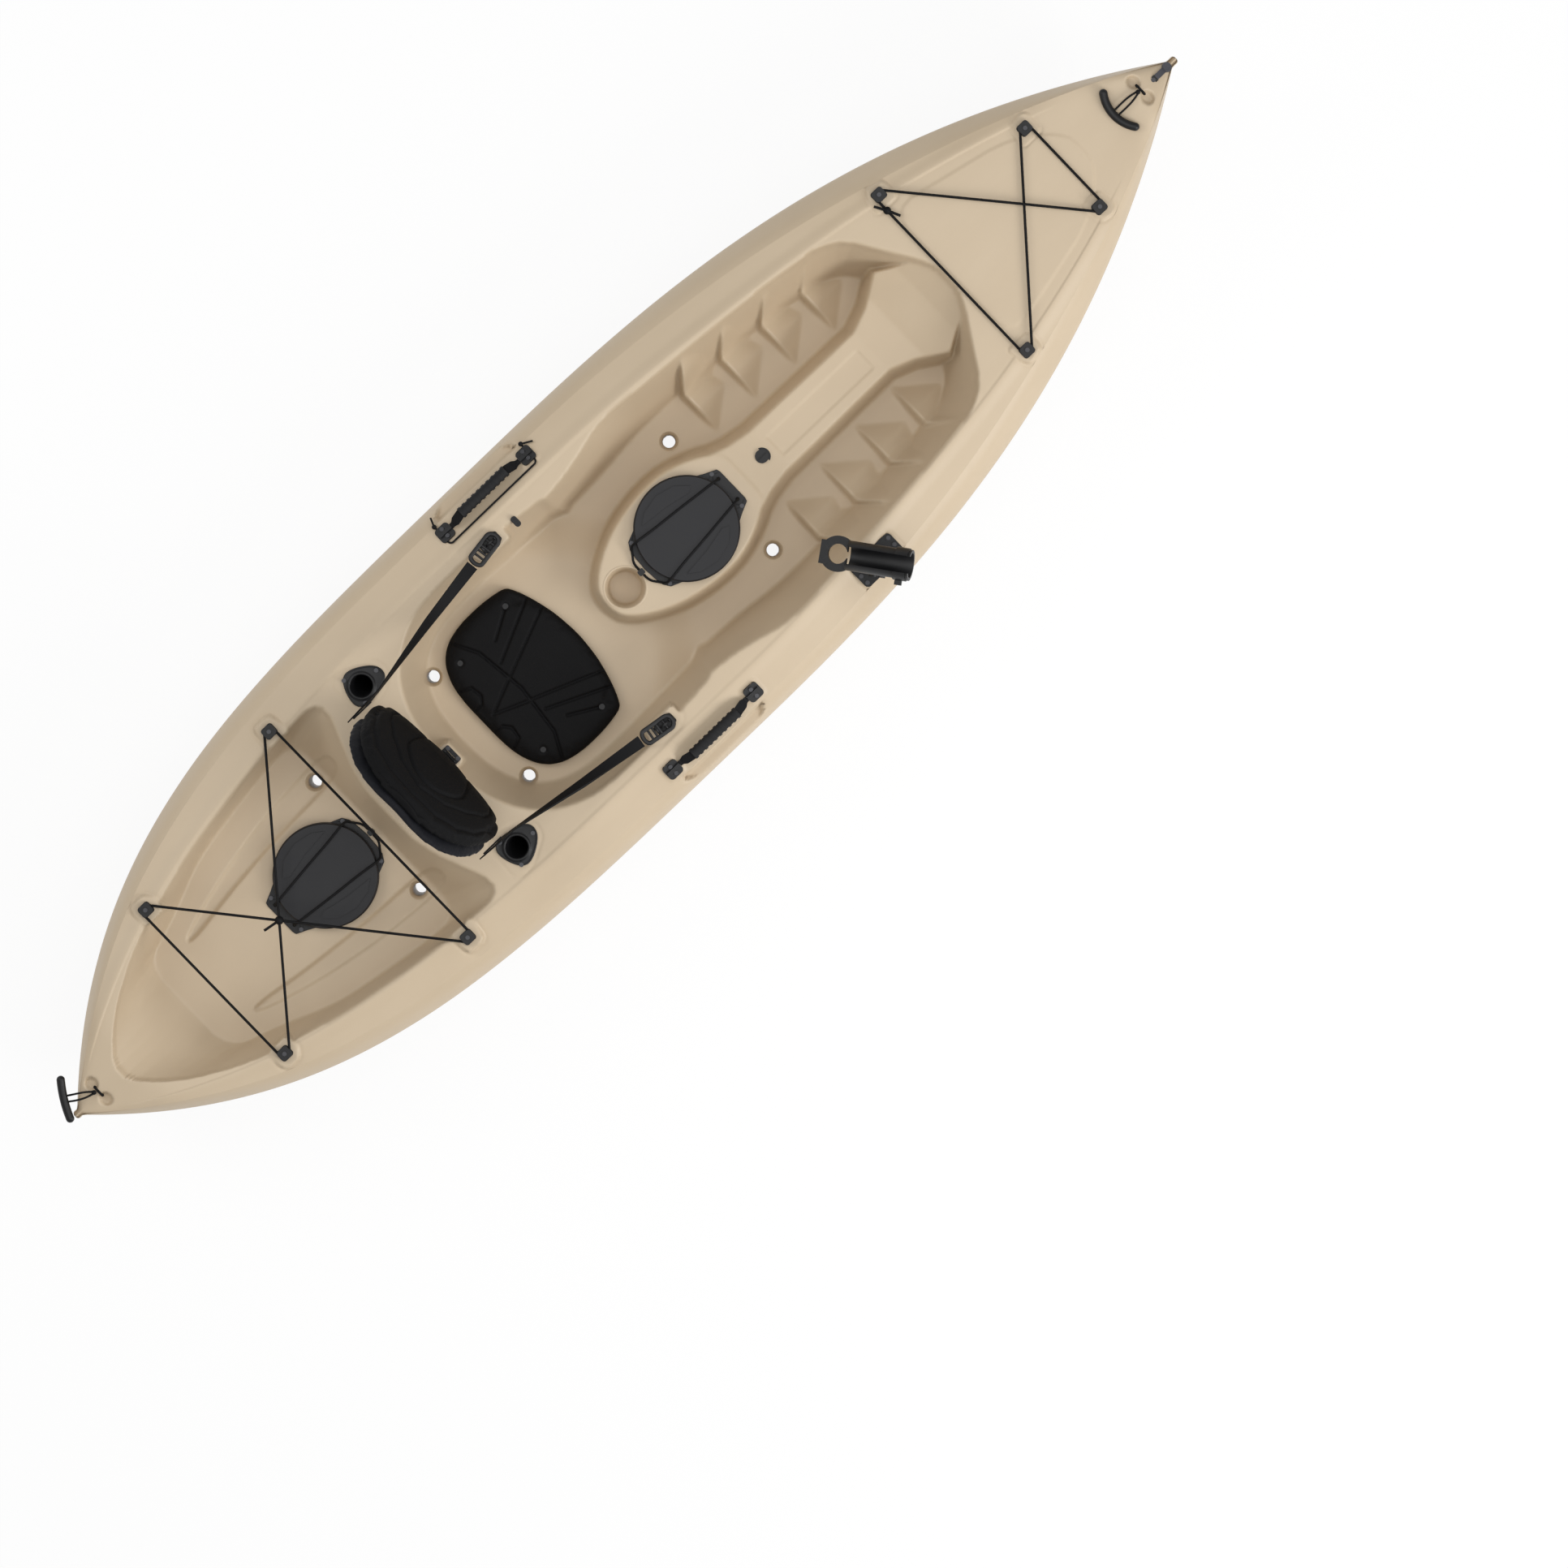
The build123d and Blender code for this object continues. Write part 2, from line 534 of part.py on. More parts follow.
def shells():
    """The bottom shell and the deck shell, with their scuppers, openings and pilot holes."""
    shell = skin(0) + seats()
    posts = []
    for x, y, z in SCUPPERS:
        posts += [post(x, side * y, 0, SCUPPER_RADIUS + WALL, z) for side in (1, -1)]
    cavity = skin(WALL) - posts - seats()
    shell -= cavity
    cuts = []
    for x, y, z in SCUPPERS:
        for side in (1, -1):
            cuts.append(post(x, side * y, -10, SCUPPER_RADIUS, z + 20))
            funnel = Cone(SCUPPER_RADIUS, SCUPPER_RADIUS + SCUPPER_FUNNEL, 10)
            cuts.append(Pos(x, side * y, z - 5 + GAP) * funnel)
    cuts.append(post(FRONT_HATCH_X, 0, PEDESTAL_HEIGHT - 3 * WALL, HATCH_HOLE_RADIUS, 4 * WALL))
    cuts.append(post(REAR_HATCH_X, 0, TANK_FLOOR - 3 * WALL, HATCH_HOLE_RADIUS, 4 * WALL))
    cuts.append(post(CENTRE_PLUG_X, 0, SPINE_HEIGHT - 2 * WALL, CENTRE_PLUG_HOLE_RADIUS, 3 * WALL))
    for side in (1, -1):
        tube = FLUSH_BORE_RADIUS + FLUSH_TUBE_WALL + GAP
        cuts.append(flush_axis(side) * Pos(0, 0, -10) * Cylinder(tube, 60))
    cuts += [bridge_pockets(BOW_BRIDGE_X), bridge_pockets(STERN_BRIDGE_X)]
    cuts.append(BOW_PLUG_PLACE * post(0, 0, -9, BOW_PLUG_RADIUS + 1.0, 40))
    cuts.append(block((BOW_TETHER_X - 9, BOW_TETHER_X + 9), (-12, 12), (BOW_TETHER_Z, BOW_TETHER_Z + 40)))
    for group in fixings():
        for place, held in group:
            depth = SCREW_LENGTH + 1
            cuts.append(place * Pos(0, 0, -depth / 2) * Cylinder(SCREW_HOLE_RADIUS, depth))
    for side in (1, -1):
        for x, y in RIVETS:
            cuts.append(post(x, side * y, SEAT_FLOOR - 10, RIVET_RADIUS + 0.1, 12))
    shell -= cuts
    region = deck_region()
    return {"hull": shell - region, "deck": shell & region}


def foam_block(x0, x1):
    """A flotation block that fills the inside of the hull between two stations."""
    return hull_body(WALL + GAP) & block((x0, x1), (-HALF_BEAM, HALF_BEAM), (0, FOAM_TOP))


FOAM_TOP = 150.0
BOW_FOAM_X = (930.0, 1180.0)
STERN_FOAM_X = (-1180.0, -990.0)


def rounded_plate(x_size, y_size, height, radius):
    """A plate that stands on z = 0, with rounded upright corners."""
    return extrude(RectangleRounded(x_size, y_size, radius), height)


def lashing_hook(hole):
    """A base plate, a stem that the cord goes round, and a head, with a hole for the screw."""
    base = rounded_plate(HOOK_BASE[0], HOOK_BASE[1], HOOK_BASE[2], 6)
    stem = post(0, 0, HOOK_BASE[2], HOOK_STEM_RADIUS, HOOK_STEM_HEIGHT)
    head = rounded_plate(HOOK_HEAD[0], HOOK_HEAD[1], HOOK_HEAD[2], 7)
    head = Pos(0, 0, HOOK_BASE[2] + HOOK_STEM_HEIGHT) * head
    return base + stem + head - post(0, 0, -1, hole, 40)


def hooks(places):
    return [Pos(x, side * y, deck_z(x) + SEAT_RISE) * lashing_hook(SCREW_HOLE_RADIUS)
            for x, y in places for side in (1, -1)]


def bend_radii(points):
    """Radius of each corner of a cord: as large as its two runs allow."""
    radii = []
    for before, here, after in zip(points, points[1:], points[2:]):
        back, on = Vector(*here) - Vector(*before), Vector(*after) - Vector(*here)
        half_turn = math.radians(back.get_angle(on)) / 2
        radii.append(0.45 * min(back.length, on.length) / math.tan(half_turn))
    return radii


def cord(name, points, radius, radii=None):
    """A round cord along straight runs joined by arcs, compared with its section times its length."""
    radii = radii or bend_radii(points)
    path = FilletPolyline(*points, radius=radii) if len(points) > 2 else Line(*points)
    tube = sweep(Plane(path @ 0, z_dir=path % 0) * Circle(radius), path=path)
    share = tube.volume / (math.pi * radius ** 2 * path.length)
    print(name, "length", round(path.length), "volume share", round(share, 4), "radii",
          [round(r) for r in radii])
    return tube


def round_pegs(pegs, reach):
    """Corners of a tight closed cord that goes round pegs at a distance from their centres."""
    corners = [Vector(*peg) for peg in pegs]
    for _ in range(12):
        fresh = []
        for number, peg in enumerate(pegs):
            back = (corners[number - 1] - corners[number]).normalized()
            on = (corners[(number + 1) % len(pegs)] - corners[number]).normalized()
            half = math.acos(back.dot(on)) / 2
            fresh.append(Vector(*peg) - (back + on).normalized() * (reach / math.sin(half)))
        corners = fresh
    return [(c.X, c.Y) for c in corners]


def hook_cord_z(x):
    return deck_z(x) + SEAT_RISE + HOOK_BASE[2] + HOOK_STEM_HEIGHT / 2


HOOK_REACH = HOOK_STEM_RADIUS + SHOCK_RADIUS + GAP + 0.3
KNOT_RADIUS = 8.0


def front_bungee():
    """The crossed shock cord of the foredeck, knotted beside the port hook."""
    (near, near_y), (far, far_y) = FRONT_HOOKS
    corners = round_pegs([(near, near_y), (far, -far_y), (far, far_y), (near, -near_y)], HOOK_REACH)
    low, high = hook_cord_z(near), hook_cord_z(far)
    c0, c1, c2, c3 = [(x, y, low if x < (near + far) / 2 else high) for x, y in corners]
    cross_x = c0[0] + (c1[0] - c0[0]) * c0[1] / (c0[1] - c1[1])
    cross_z = deck_z(cross_x) + SHOCK_RADIUS + 3
    slope = (c1[1] - c0[1]) / (c1[0] - c0[0])
    hump, span = 2 * SHOCK_RADIUS + 1.5, 30.0
    over = [(cross_x + dx, slope * dx, max(cross_z, (low + high) / 2) + hump) for dx in (-span, span)]
    knot_y = near_y - 34
    points = [(c0[0], knot_y + 4, low), c0, *over, c1, c2, c3, (c0[0], knot_y - 4, low)]
    radii = bend_radii(points)
    for corner in (0, 3, 4, 5):
        radii[corner] = HOOK_REACH
    tube = cord("front_bungee", points, SHOCK_RADIUS, radii)
    tube += Pos(c0[0], knot_y, low + 1) * Sphere(KNOT_RADIUS)
    for dx, dy in ((-14, 24), (12, -26)):
        tube += cord("front_bungee_tail", [(c0[0], knot_y, low + 4), (c0[0] + dx, knot_y + dy, low + 5)],
                     SHOCK_RADIUS)
    return tube


def rear_bungee():
    """The crossed shock cord over the tank well, knotted where it crosses."""
    (near, near_y), (far, far_y) = REAR_HOOKS
    corners = round_pegs([(near, near_y), (near, -near_y), (far, far_y), (far, -far_y)], HOOK_REACH)
    low, high = hook_cord_z(near), hook_cord_z(far)
    c0, c1, c2, c3 = [(x, y, low if x > (near + far) / 2 else high) for x, y in corners]
    share = c0[1] / (c0[1] - c3[1])
    cross = Vector(*c0) + (Vector(*c3) - Vector(*c0)) * share
    start = cross + (Vector(*c0) - cross).normalized() * 4
    end = cross + (Vector(*c3) - cross).normalized() * 4
    points = [tuple(start), c0, c1, c2, c3, tuple(end)]
    tube = cord("rear_bungee", points, SHOCK_RADIUS, [HOOK_REACH] * 4)
    tube += Pos(*cross) * Sphere(KNOT_RADIUS + 1)
    return tube + cord("rear_bungee_tail", [tuple(cross), (cross.X - 36, 6, cross.Z - 1)], SHOCK_RADIUS)


def seat_pad():
    """The grooved foam pad of the seat, crowned towards its edge."""
    half = [(-403, 0), (-402, 60), (-394, 110), (-375, 150), (-340, 178), (-290, 189), (-230, 188),
            (-172, 176), (-150, 130), (-132, 66), (-125, 0)]
    low = flat(moved_out(both_sides(half), -4), 0)
    middle = flat(both_sides(half), PAD_THICKNESS * 0.5)
    high = flat(moved_out(both_sides(half), -7), PAD_THICKNESS - 4)
    crown = flat(moved_out(both_sides(half), -26), PAD_THICKNESS)
    pad = Pos(0, 0, SEAT_FLOOR) * loft([low, middle, high, crown], ruled=True)
    top = SEAT_FLOOR + PAD_THICKNESS
    runs = [((-372, 0), (-140, 92)), ((-285, 64), (-150, 127)), ((-262, 104), (-204, 138)),
            ((-330, 172), (-292, 0))]
    for (x0, y0), (x1, y1) in runs:
        for side in (1, -1):
            run = math.dist((x0, y0), (x1, y1))
            angle = math.degrees(math.atan2(side * (y1 - y0), x1 - x0))
            groove = Box(run, 5, 2 * PAD_GROOVE)
            pad -= Pos((x0 + x1) / 2, side * (y0 + y1) / 2, top) * Rot(0, 0, angle) * groove
    for x, y in RIVETS:
        for side in (1, -1):
            pad -= post(x, side * y, SEAT_FLOOR - 1, RIVET_RADIUS + 0.1, PAD_THICKNESS + 5)
            pad -= post(x, side * y, RIVET_SEAT_Z, RIVET_HEAD_RADIUS + 1, PAD_THICKNESS)
    return pad


RIVET_SEAT_Z = SEAT_FLOOR + PAD_THICKNESS - 4.0


def seat_rivets():
    rivets = []
    for x, y in RIVETS:
        for side in (1, -1):
            shank = post(x, side * y, SEAT_FLOOR - 8, RIVET_RADIUS, RIVET_SEAT_Z - SEAT_FLOOR + 8)
            rivets.append(shank + post(x, side * y, RIVET_SEAT_Z, RIVET_HEAD_RADIUS, RIVET_HEAD_HEIGHT))
    return rivets


# The backrest: height above its pivot, half width, front face behind the pivot, thickness
BACK_SECTIONS = [
    (7, 118, 15, 40), (28, 150, 8, 58), (78, 172, 6, 66), (130, 184, 13, 68), (180, 183, 33, 66),
    (230, 165, 62, 60), (268, 126, 88, 52), (290, 76, 104, 42), (300, 34, 112, 30),
]
BACK_WING = 12.0
BACK_GROOVES = [78.0, 104.0, 130.0]
BACK_GROOVE = (5.0, 4.0)
BACK_GROOVE_RISE = 105.0


def back_section(rise, half_width, front, back, bow_front, bow_back):
    """A level section of the backrest between two upright arcs."""
    x0, x1, z = BACK_PIVOT_X - front, BACK_PIVOT_X - back, BACK_PIVOT_Z + rise
    front_arc = ThreePointArc((x0 - bow_front, -half_width, z), (x0, 0, z), (x0 - bow_front, half_width, z))
    back_arc = ThreePointArc((x1 + bow_back, half_width, z), (x1, 0, z), (x1 + bow_back, -half_width, z))
    sides = [Line(front_arc @ 1, back_arc @ 0), Line(back_arc @ 1, front_arc @ 0)]
    return make_face(Wire([front_arc.edges()[0], sides[0].edges()[0], back_arc.edges()[0],
                           sides[1].edges()[0]]))


def backrest_pad():
    """The front cushion of the backrest, crowned, drawn in at its sides and grooved in arcs."""
    sections = []
    for rise, half, front, thick in BACK_SECTIONS:
        split = front + thick * BACK_PAD_SHARE
        sections.append(back_section(rise, half, front, split, BACK_WING, 0.01))
    pad = loft(sections, ruled=True)
    skin_cut = pad - Pos(-BACK_GROOVE[1], 0, 0) * pad
    for radius in BACK_GROOVES:
        ring = Cylinder(radius + BACK_GROOVE[0] / 2, 400) - Cylinder(radius - BACK_GROOVE[0] / 2, 400)
        ring = Pos(BACK_PIVOT_X - 60, 0, BACK_PIVOT_Z + BACK_GROOVE_RISE) * Rot(0, -90, 0) * ring
        pad -= ring & skin_cut & block((-700, BACK_PIVOT_X), (-300, 300),
                                       (BACK_PIVOT_Z + BACK_GROOVE_RISE, 700))
    return pad


def backrest_shell():
    """The stiff shell behind the cushion."""
    sections = []
    for rise, half, front, thick in BACK_SECTIONS:
        split = front + thick * BACK_PAD_SHARE
        sections.append(back_section(rise, half, split + GAP, front + thick, 0.01, BACK_WING))
    return loft(sections, ruled=True)


BACK_SLEEVE_RADIUS = 4.6
BACK_SLEEVE_HALF = 12.0


def back_tab():
    """The webbing tab under the backrest, sewn round the clip's cross pin."""
    x, z = BACK_PIVOT_X, BACK_PIVOT_Z
    sleeve = Pos(x, 0, z) * Rot(90, 0, 0) * Cylinder(BACK_SLEEVE_RADIUS, 2 * BACK_SLEEVE_HALF)
    rise, half, front, thick = BACK_SECTIONS[0]
    profile = [(x - 1, z + 3.0), (x - front - 2, z + rise), (x - front - 12, z + rise), (x - 4, z - 0.5)]
    tab = make_face(Polyline([(px, -BACK_SLEEVE_HALF, pz) for px, pz in profile], close=True))
    tab = extrude(tab, 2 * BACK_SLEEVE_HALF, dir=(0, 1, 0))
    hole = Pos(x, 0, z) * Rot(90, 0, 0) * Cylinder(BACK_PIN_RADIUS + RUNNING_GAP, 60)
    return sleeve + tab - hole


def back_clip():
    """The clip on the deck: a plate with two ears and the cross pin between them."""
    x, z = BACK_PIVOT_X, BACK_PIVOT_Z
    clip = Pos(x + 2, 0, BACK_SEAT_Z) * rounded_plate(CLIP_PLATE[0], CLIP_PLATE[1], CLIP_PLATE[2], 4)
    clip -= block((x - BACK_SLEEVE_RADIUS - 1, x + BACK_SLEEVE_RADIUS + 1),
                  (-BACK_SLEEVE_HALF - 1, BACK_SLEEVE_HALF + 1),
                  (BACK_SEAT_Z, BACK_SEAT_Z + 20))
    for side in (1, -1):
        y = side * (BACK_SLEEVE_HALF + GAP + 1.5)
        clip += Pos(x, y, z) * Rot(90, 0, 0) * Cylinder(4.5, 3)
        clip += block((x - 4.5, x + 4.5), (y - 1.5, y + 1.5), (BACK_SEAT_Z, z))
        clip -= post(x + CLIP_SCREW[0], side * CLIP_SCREW[1], BACK_SEAT_Z - 1, SCREW_HOLE_RADIUS, 6)
    return clip + Pos(x, 0, z) * Rot(90, 0, 0) * Cylinder(BACK_PIN_RADIUS, 2 * BACK_SLEEVE_HALF + 6)


BACK_TAB_RISE = 128.0


def back_strap_tabs():
    """The stitched tabs at the back edges of the shell that the seat straps lie against."""
    tabs = []
    for side in (1, -1):
        z = BACK_PIVOT_Z + BACK_TAB_RISE
        widest = max(half for rise, half, front, thick in BACK_SECTIONS)
        y = sorted((side * (widest + RUNNING_GAP), side * (STRAP_START[1] - STRAP_THICKNESS / 2 - GAP)))
        tabs.append(block((BACK_PIVOT_X - 78, BACK_PIVOT_X - 30), y, (z - 11, z + 11)))
    return tabs


STRAP_START = (-570.0, 188.4, 432.0)
STRAP_BEND = (-492.0, 192.0, 388.0)
STRAP_LOW = (-330.0, 222.0, 327.0)
EYE_HEIGHT = 10.0
EYE_HOLE_RADIUS = 6.5
EYE_RADIUS = 11.0
EYE_TAB = 4.0
HOOK_RING_RADIUS = 9.5
HOOK_WIRE_RADIUS = 2.5
HOOK_LENGTH = 46.0
BUCKLE = (12.0, 32.0, 5.0)


def strap_line(side):
    """The line that a strap pulls along: the eye's hole and the way back to the strap."""
    hole = Vector(STRAP_EYE[0], side * STRAP_EYE[1], deck_z(STRAP_EYE[0]) + EYE_PLATE[2] + EYE_HEIGHT)
    back = Vector(STRAP_LOW[0], side * STRAP_LOW[1], STRAP_LOW[2]) - hole
    return hole, back.normalized()


def ribbon(stations):
    """Webbing through stations of (centre, way along, way across, width, thickness)."""
    faces = []
    for centre, ahead, across, width, thickness in stations:
        across = (across - ahead * across.dot(ahead)).normalized()
        normal = ahead.cross(across)
        corners = [centre + across * (a * width / 2) + normal * (b * thickness / 2)
                   for a, b in ((-1, -1), (1, -1), (1, 1), (-1, 1))]
        faces.append(make_face(Polyline(*corners, close=True)))
    return loft(faces, ruled=True)


def seat_strap(side):
    """A seat strap, on edge beside the backrest and flatter towards its buckle."""
    hole, back = strap_line(side)
    start, bend, low = [Vector(x, side * y, z) for x, y, z in (STRAP_START, STRAP_BEND, STRAP_LOW)]
    end = hole + back * (HOOK_LENGTH + BUCKLE[0] + GAP)
    first, second, third = (bend - start).normalized(), (low - bend).normalized(), -back
    doubled = 2 * STRAP_THICKNESS
    return ribbon([
        (start, first, Vector(0, 0, 1), STRAP_WIDTH, STRAP_THICKNESS),
        (bend, (first + second).normalized(), Vector(0, side * 0.1, 1), STRAP_WIDTH, STRAP_THICKNESS),
        (low, (second + third).normalized(), Vector(0, side * 0.7, 1), STRAP_WIDTH, doubled),
        (end, third, Vector(0, side, 0), STRAP_WIDTH, doubled),
    ])


def snap_hook(side):
    """The buckle, the bar and the ring that hangs in the eye."""
    hole, back = strap_line(side)
    near = EYE_HOLE_RADIUS - HOOK_WIRE_RADIUS - 4 * GAP
    frame = Plane(origin=hole, x_dir=back, z_dir=Vector(0, 1, 0).cross(back))
    ring = Pos(near + HOOK_RING_RADIUS, 0, 0) * Torus(HOOK_RING_RADIUS, HOOK_WIRE_RADIUS)
    bar = block((near + 2 * HOOK_RING_RADIUS, HOOK_LENGTH + 1), (-4, 4),
                (-HOOK_WIRE_RADIUS, HOOK_WIRE_RADIUS))
    buckle = block((HOOK_LENGTH, HOOK_LENGTH + BUCKLE[0]), (-BUCKLE[1] / 2, BUCKLE[1] / 2),
                   (-BUCKLE[2] / 2, BUCKLE[2] / 2))
    return frame.location * (ring + bar + buckle)


def strap_eye(side):
    """A plate with two screw holes and an upright eye."""
    x, y = STRAP_EYE
    eye = rounded_plate(EYE_PLATE[0], EYE_PLATE[1], EYE_PLATE[2], 5)
    eye += Pos(0, 0, EYE_PLATE[2] + EYE_HEIGHT) * Rot(90, 0, 0) * Cylinder(EYE_RADIUS, EYE_TAB)
    eye += block((-EYE_RADIUS, EYE_RADIUS), (-EYE_TAB / 2, EYE_TAB / 2), (0, EYE_PLATE[2] + EYE_HEIGHT))
    eye -= Pos(0, 0, EYE_PLATE[2] + EYE_HEIGHT) * Rot(90, 0, 0) * Cylinder(EYE_HOLE_RADIUS, 20)
    for hole_x in (-16, 16):
        eye -= post(hole_x, 0, -1, SCREW_HOLE_RADIUS, 20)
    return Pos(x, side * y, deck_z(x)) * eye


# The leash eyelet beside the seat
EYELET = (-62.0, 247.0)
EYELET_PLATE = (13.0, 24.0, 3.0)


def leash_eyelet():
    x, y = EYELET
    eyelet = rounded_plate(EYELET_PLATE[0], EYELET_PLATE[1], EYELET_PLATE[2], 6)
    for hole_y in (-6, 6):
        eyelet += post(0, hole_y, 0, 5.5, EYELET_PLATE[2] + 3)
        eyelet -= post(0, hole_y, EYELET_PLATE[2], 3, 10)
    return Pos(x, y, deck_z(x)) * eyelet


# Carry handles: the pin that each strap end turns on, and the paddle keeper's cord
HANDLE_PIN_RADIUS = 2.5
HANDLE_PIN_RISE = 8.0
HANDLE_PIN_DEPTH = 8.0
HANDLE_HUMP = (8.0, 12.5)
KEEPER_RADIUS = 2.0
KEEPER_OFFSET = 8.0
KEEPER_RISE = SEAT_RISE + GAP + KEEPER_RADIUS
KEEPER_SIDE = 25.5
KEEPER_KNOT = (24.0, 8.0, 5.0)
KEEPER_TAILS = [(-113.0, 44.0, 6.0), (142.0, 12.0, 5.0)]


def handle_ends():
    """Local x of the two plates of a handle."""
    return [x - HANDLE_MIDDLE for x in HANDLE_X]


def handle_plate(inward):
    """A plate with a hump for the strap's pin, two screw holes and the channel of the cord."""
    length, width, height = HANDLE_PLATE
    plate = Pos(0, 0, SEAT_RISE) * rounded_plate(length, width, height, 8)
    plate += block((-length / 2 + 3, length / 2), (-HANDLE_HUMP[0] / 2, HANDLE_HUMP[0] / 2),
                   (SEAT_RISE, HANDLE_HUMP[1]))
    pin = Pos(length / 2 - HANDLE_PIN_DEPTH / 2, 0, HANDLE_PIN_RISE) * Rot(0, 90, 0)
    plate -= pin * Cylinder(HANDLE_PIN_RADIUS + RUNNING_GAP, HANDLE_PIN_DEPTH + 2 * GAP)
    channel = KEEPER_RADIUS + GAP
    plate -= block((-KEEPER_OFFSET - channel, -KEEPER_OFFSET + channel), (-width, width),
                   (0, KEEPER_RISE + channel))
    for y in (-9, 9):
        plate -= post(0, y, 0, SCREW_HOLE_RADIUS, 20)
    return plate if inward > 0 else Rot(0, 0, 180) * plate


def handle_plates():
    plates = []
    for side in (1, -1):
        for x in handle_ends():
            plates.append(HANDLE_PLANES[side].location * Pos(x, 0, 0) * handle_plate(-x))
    return plates


GRIP_RISE = SEAT_RISE + HANDLE_RISE


def handle_strap(side):
    """The webbing of a carry handle, whose ends turn on pins in the plates."""
    reach = handle_ends()[1] - HANDLE_PLATE[0] / 2 - GAP
    up, width = Vector(0, 1, 0), HANDLE_STRAP[0]
    line = [(reach, HANDLE_PIN_RISE, 11), (reach - 7, HANDLE_PIN_RISE + 1.5, 12),
            (reach - 14, HANDLE_PIN_RISE + 6, width),
            (GRIP_LENGTH / 2 + 2, GRIP_RISE, width)]
    line += [(-x, z, w) for x, z, w in reversed(line)]
    stations = []
    for number, (x, z, w) in enumerate(line):
        before, after = line[max(number - 1, 0)], line[min(number + 1, len(line) - 1)]
        ahead = Vector(after[0] - before[0], 0, after[1] - before[1]).normalized()
        if number in (0, len(line) - 1):
            ahead = Vector(-1, 0, 0)
        stations.append((Vector(x, 0, z), ahead, up, w, HANDLE_STRAP[1]))
    strap = ribbon(stations)
    for end in (1, -1):
        tongue = Pos(end * (reach - 1), 0, HANDLE_PIN_RISE) * Rot(0, 90, 0)
        strap += tongue * Cylinder(HANDLE_PIN_RADIUS, 4 + 2 * (HANDLE_PIN_DEPTH - 2))
    return HANDLE_PLANES[side].location * strap


def handle_grip(side):
    """The ribbed tube of a carry handle, with a slot along it for the strap."""
    pitch = GRIP_LENGTH / (2 * GRIP_RIBS + 1)
    points, low, high = [(0, 0)], GRIP_RADIUS - GRIP_RIB_DEPTH, GRIP_RADIUS
    for number in range(2 * GRIP_RIBS + 1):
        radius = high if number % 2 == 0 else low
        points += [(number * pitch, radius), ((number + 1) * pitch, radius)]
    points.append((GRIP_LENGTH, 0))
    grip = revolve(make_face(Polyline([(x, 0, z) for x, z in points], close=True)), Axis.X)
    slot = Box(GRIP_LENGTH * 2, HANDLE_STRAP[0] + 2 * GAP, HANDLE_STRAP[1] + 2 * GAP)
    return HANDLE_PLANES[side].location * Pos(-GRIP_LENGTH / 2, 0, GRIP_RISE) * (grip - slot)


def paddle_keeper():
    """The shock cord inboard of the port handle, knotted outside each plate."""
    (x0, x1), z = handle_ends(), KEEPER_RISE
    x0, x1 = x0 - KEEPER_OFFSET, x1 + KEEPER_OFFSET
    knot_y, knot_z, knot_radius = KEEPER_KNOT
    points = [(x0, knot_y, z), (x0, -KEEPER_SIDE, z), (x1, -KEEPER_SIDE, z), (x1, knot_y, z)]
    tube = cord("paddle_keeper", points, KEEPER_RADIUS, [8.0, 8.0])
    for x, tail in zip((x0, x1), KEEPER_TAILS):
        tube += Pos(x, knot_y, knot_z) * Rot(35, 25, 0) * Sphere(knot_radius)
        tube += cord("paddle_keeper_tail", [(x, knot_y, knot_z), tail], KEEPER_RADIUS)
    return HANDLE_PLANES[1].location * tube


# Flush rod holders
def flush_plan():
    """A rounded triangle round the three screws of a flush rod holder."""
    outline = flat(moved_out([FLUSH_SCREWS[2], FLUSH_SCREWS[1], FLUSH_SCREWS[0]], 12), 0)
    return fillet(outline.vertices(), 11.5)


def flush_rod_holder(side):
    place = Pos(FLUSH_X, side * FLUSH_Y, FLUSH_SEAT_Z)
    flange = extrude(flush_plan(), FLUSH_FLANGE)
    flange = place * (flange if side > 0 else mirror(flange, Plane.XZ))
    outer = FLUSH_BORE_RADIUS + FLUSH_TUBE_WALL
    below = block((-HALF_LENGTH, HALF_LENGTH), (-HALF_BEAM, HALF_BEAM), (0, FLUSH_SEAT_Z + FLUSH_FLANGE))
    tube = flush_axis(side) * post(0, 0, -FLUSH_DEPTH, outer, FLUSH_DEPTH + 20) & below
    bore = flush_axis(side) * post(0, 0, FLUSH_TUBE_WALL - FLUSH_DEPTH, FLUSH_BORE_RADIUS, 400)
    holder = flange + tube - bore
    for x, y in FLUSH_SCREWS:
        holder -= place * post(x, side * y, -1, SCREW_HOLE_RADIUS, 20)
    return holder


# Hatches, in their own frame: x points to the hinge and z is 0 on the seat
HATCH_TAB = [(70, -72), (104, -54), (126, -44), (128, -36), (128, 36), (126, 44), (104, 54), (70, 72)]
HATCH_NOSE = [(-70, 76), (-104, 62), (-113, 48), (-116, 30), (-118, 0), (-116, -30), (-113, -48),
              (-104, -62), (-70, -76)]
COLLAR_RADIUS = HATCH_HOLE_RADIUS + 4.0
LID_BOTTOM = HATCH_FLANGE + GAP
LID_UNDERSIDE = HATCH_FLANGE + HATCH_COLLAR_HEIGHT + GASKET_HEIGHT + GAP
LID_TOP = LID_UNDERSIDE + LID_WALL
HINGE_RISE = HATCH_FLANGE + GAP + HATCH_KNOT_RADIUS
HATCH_PLACES = {"front": Pos(FRONT_HATCH_X, 0, PEDESTAL_HEIGHT),
                "rear": Pos(REAR_HATCH_X, 0, TANK_FLOOR) * Rot(0, 0, 180)}
TOGGLE_BAR = (14.0, 12.0, 10.0)
TOGGLE_BAR_X = -127.0
CRESCENT_HEIGHT = 3.0


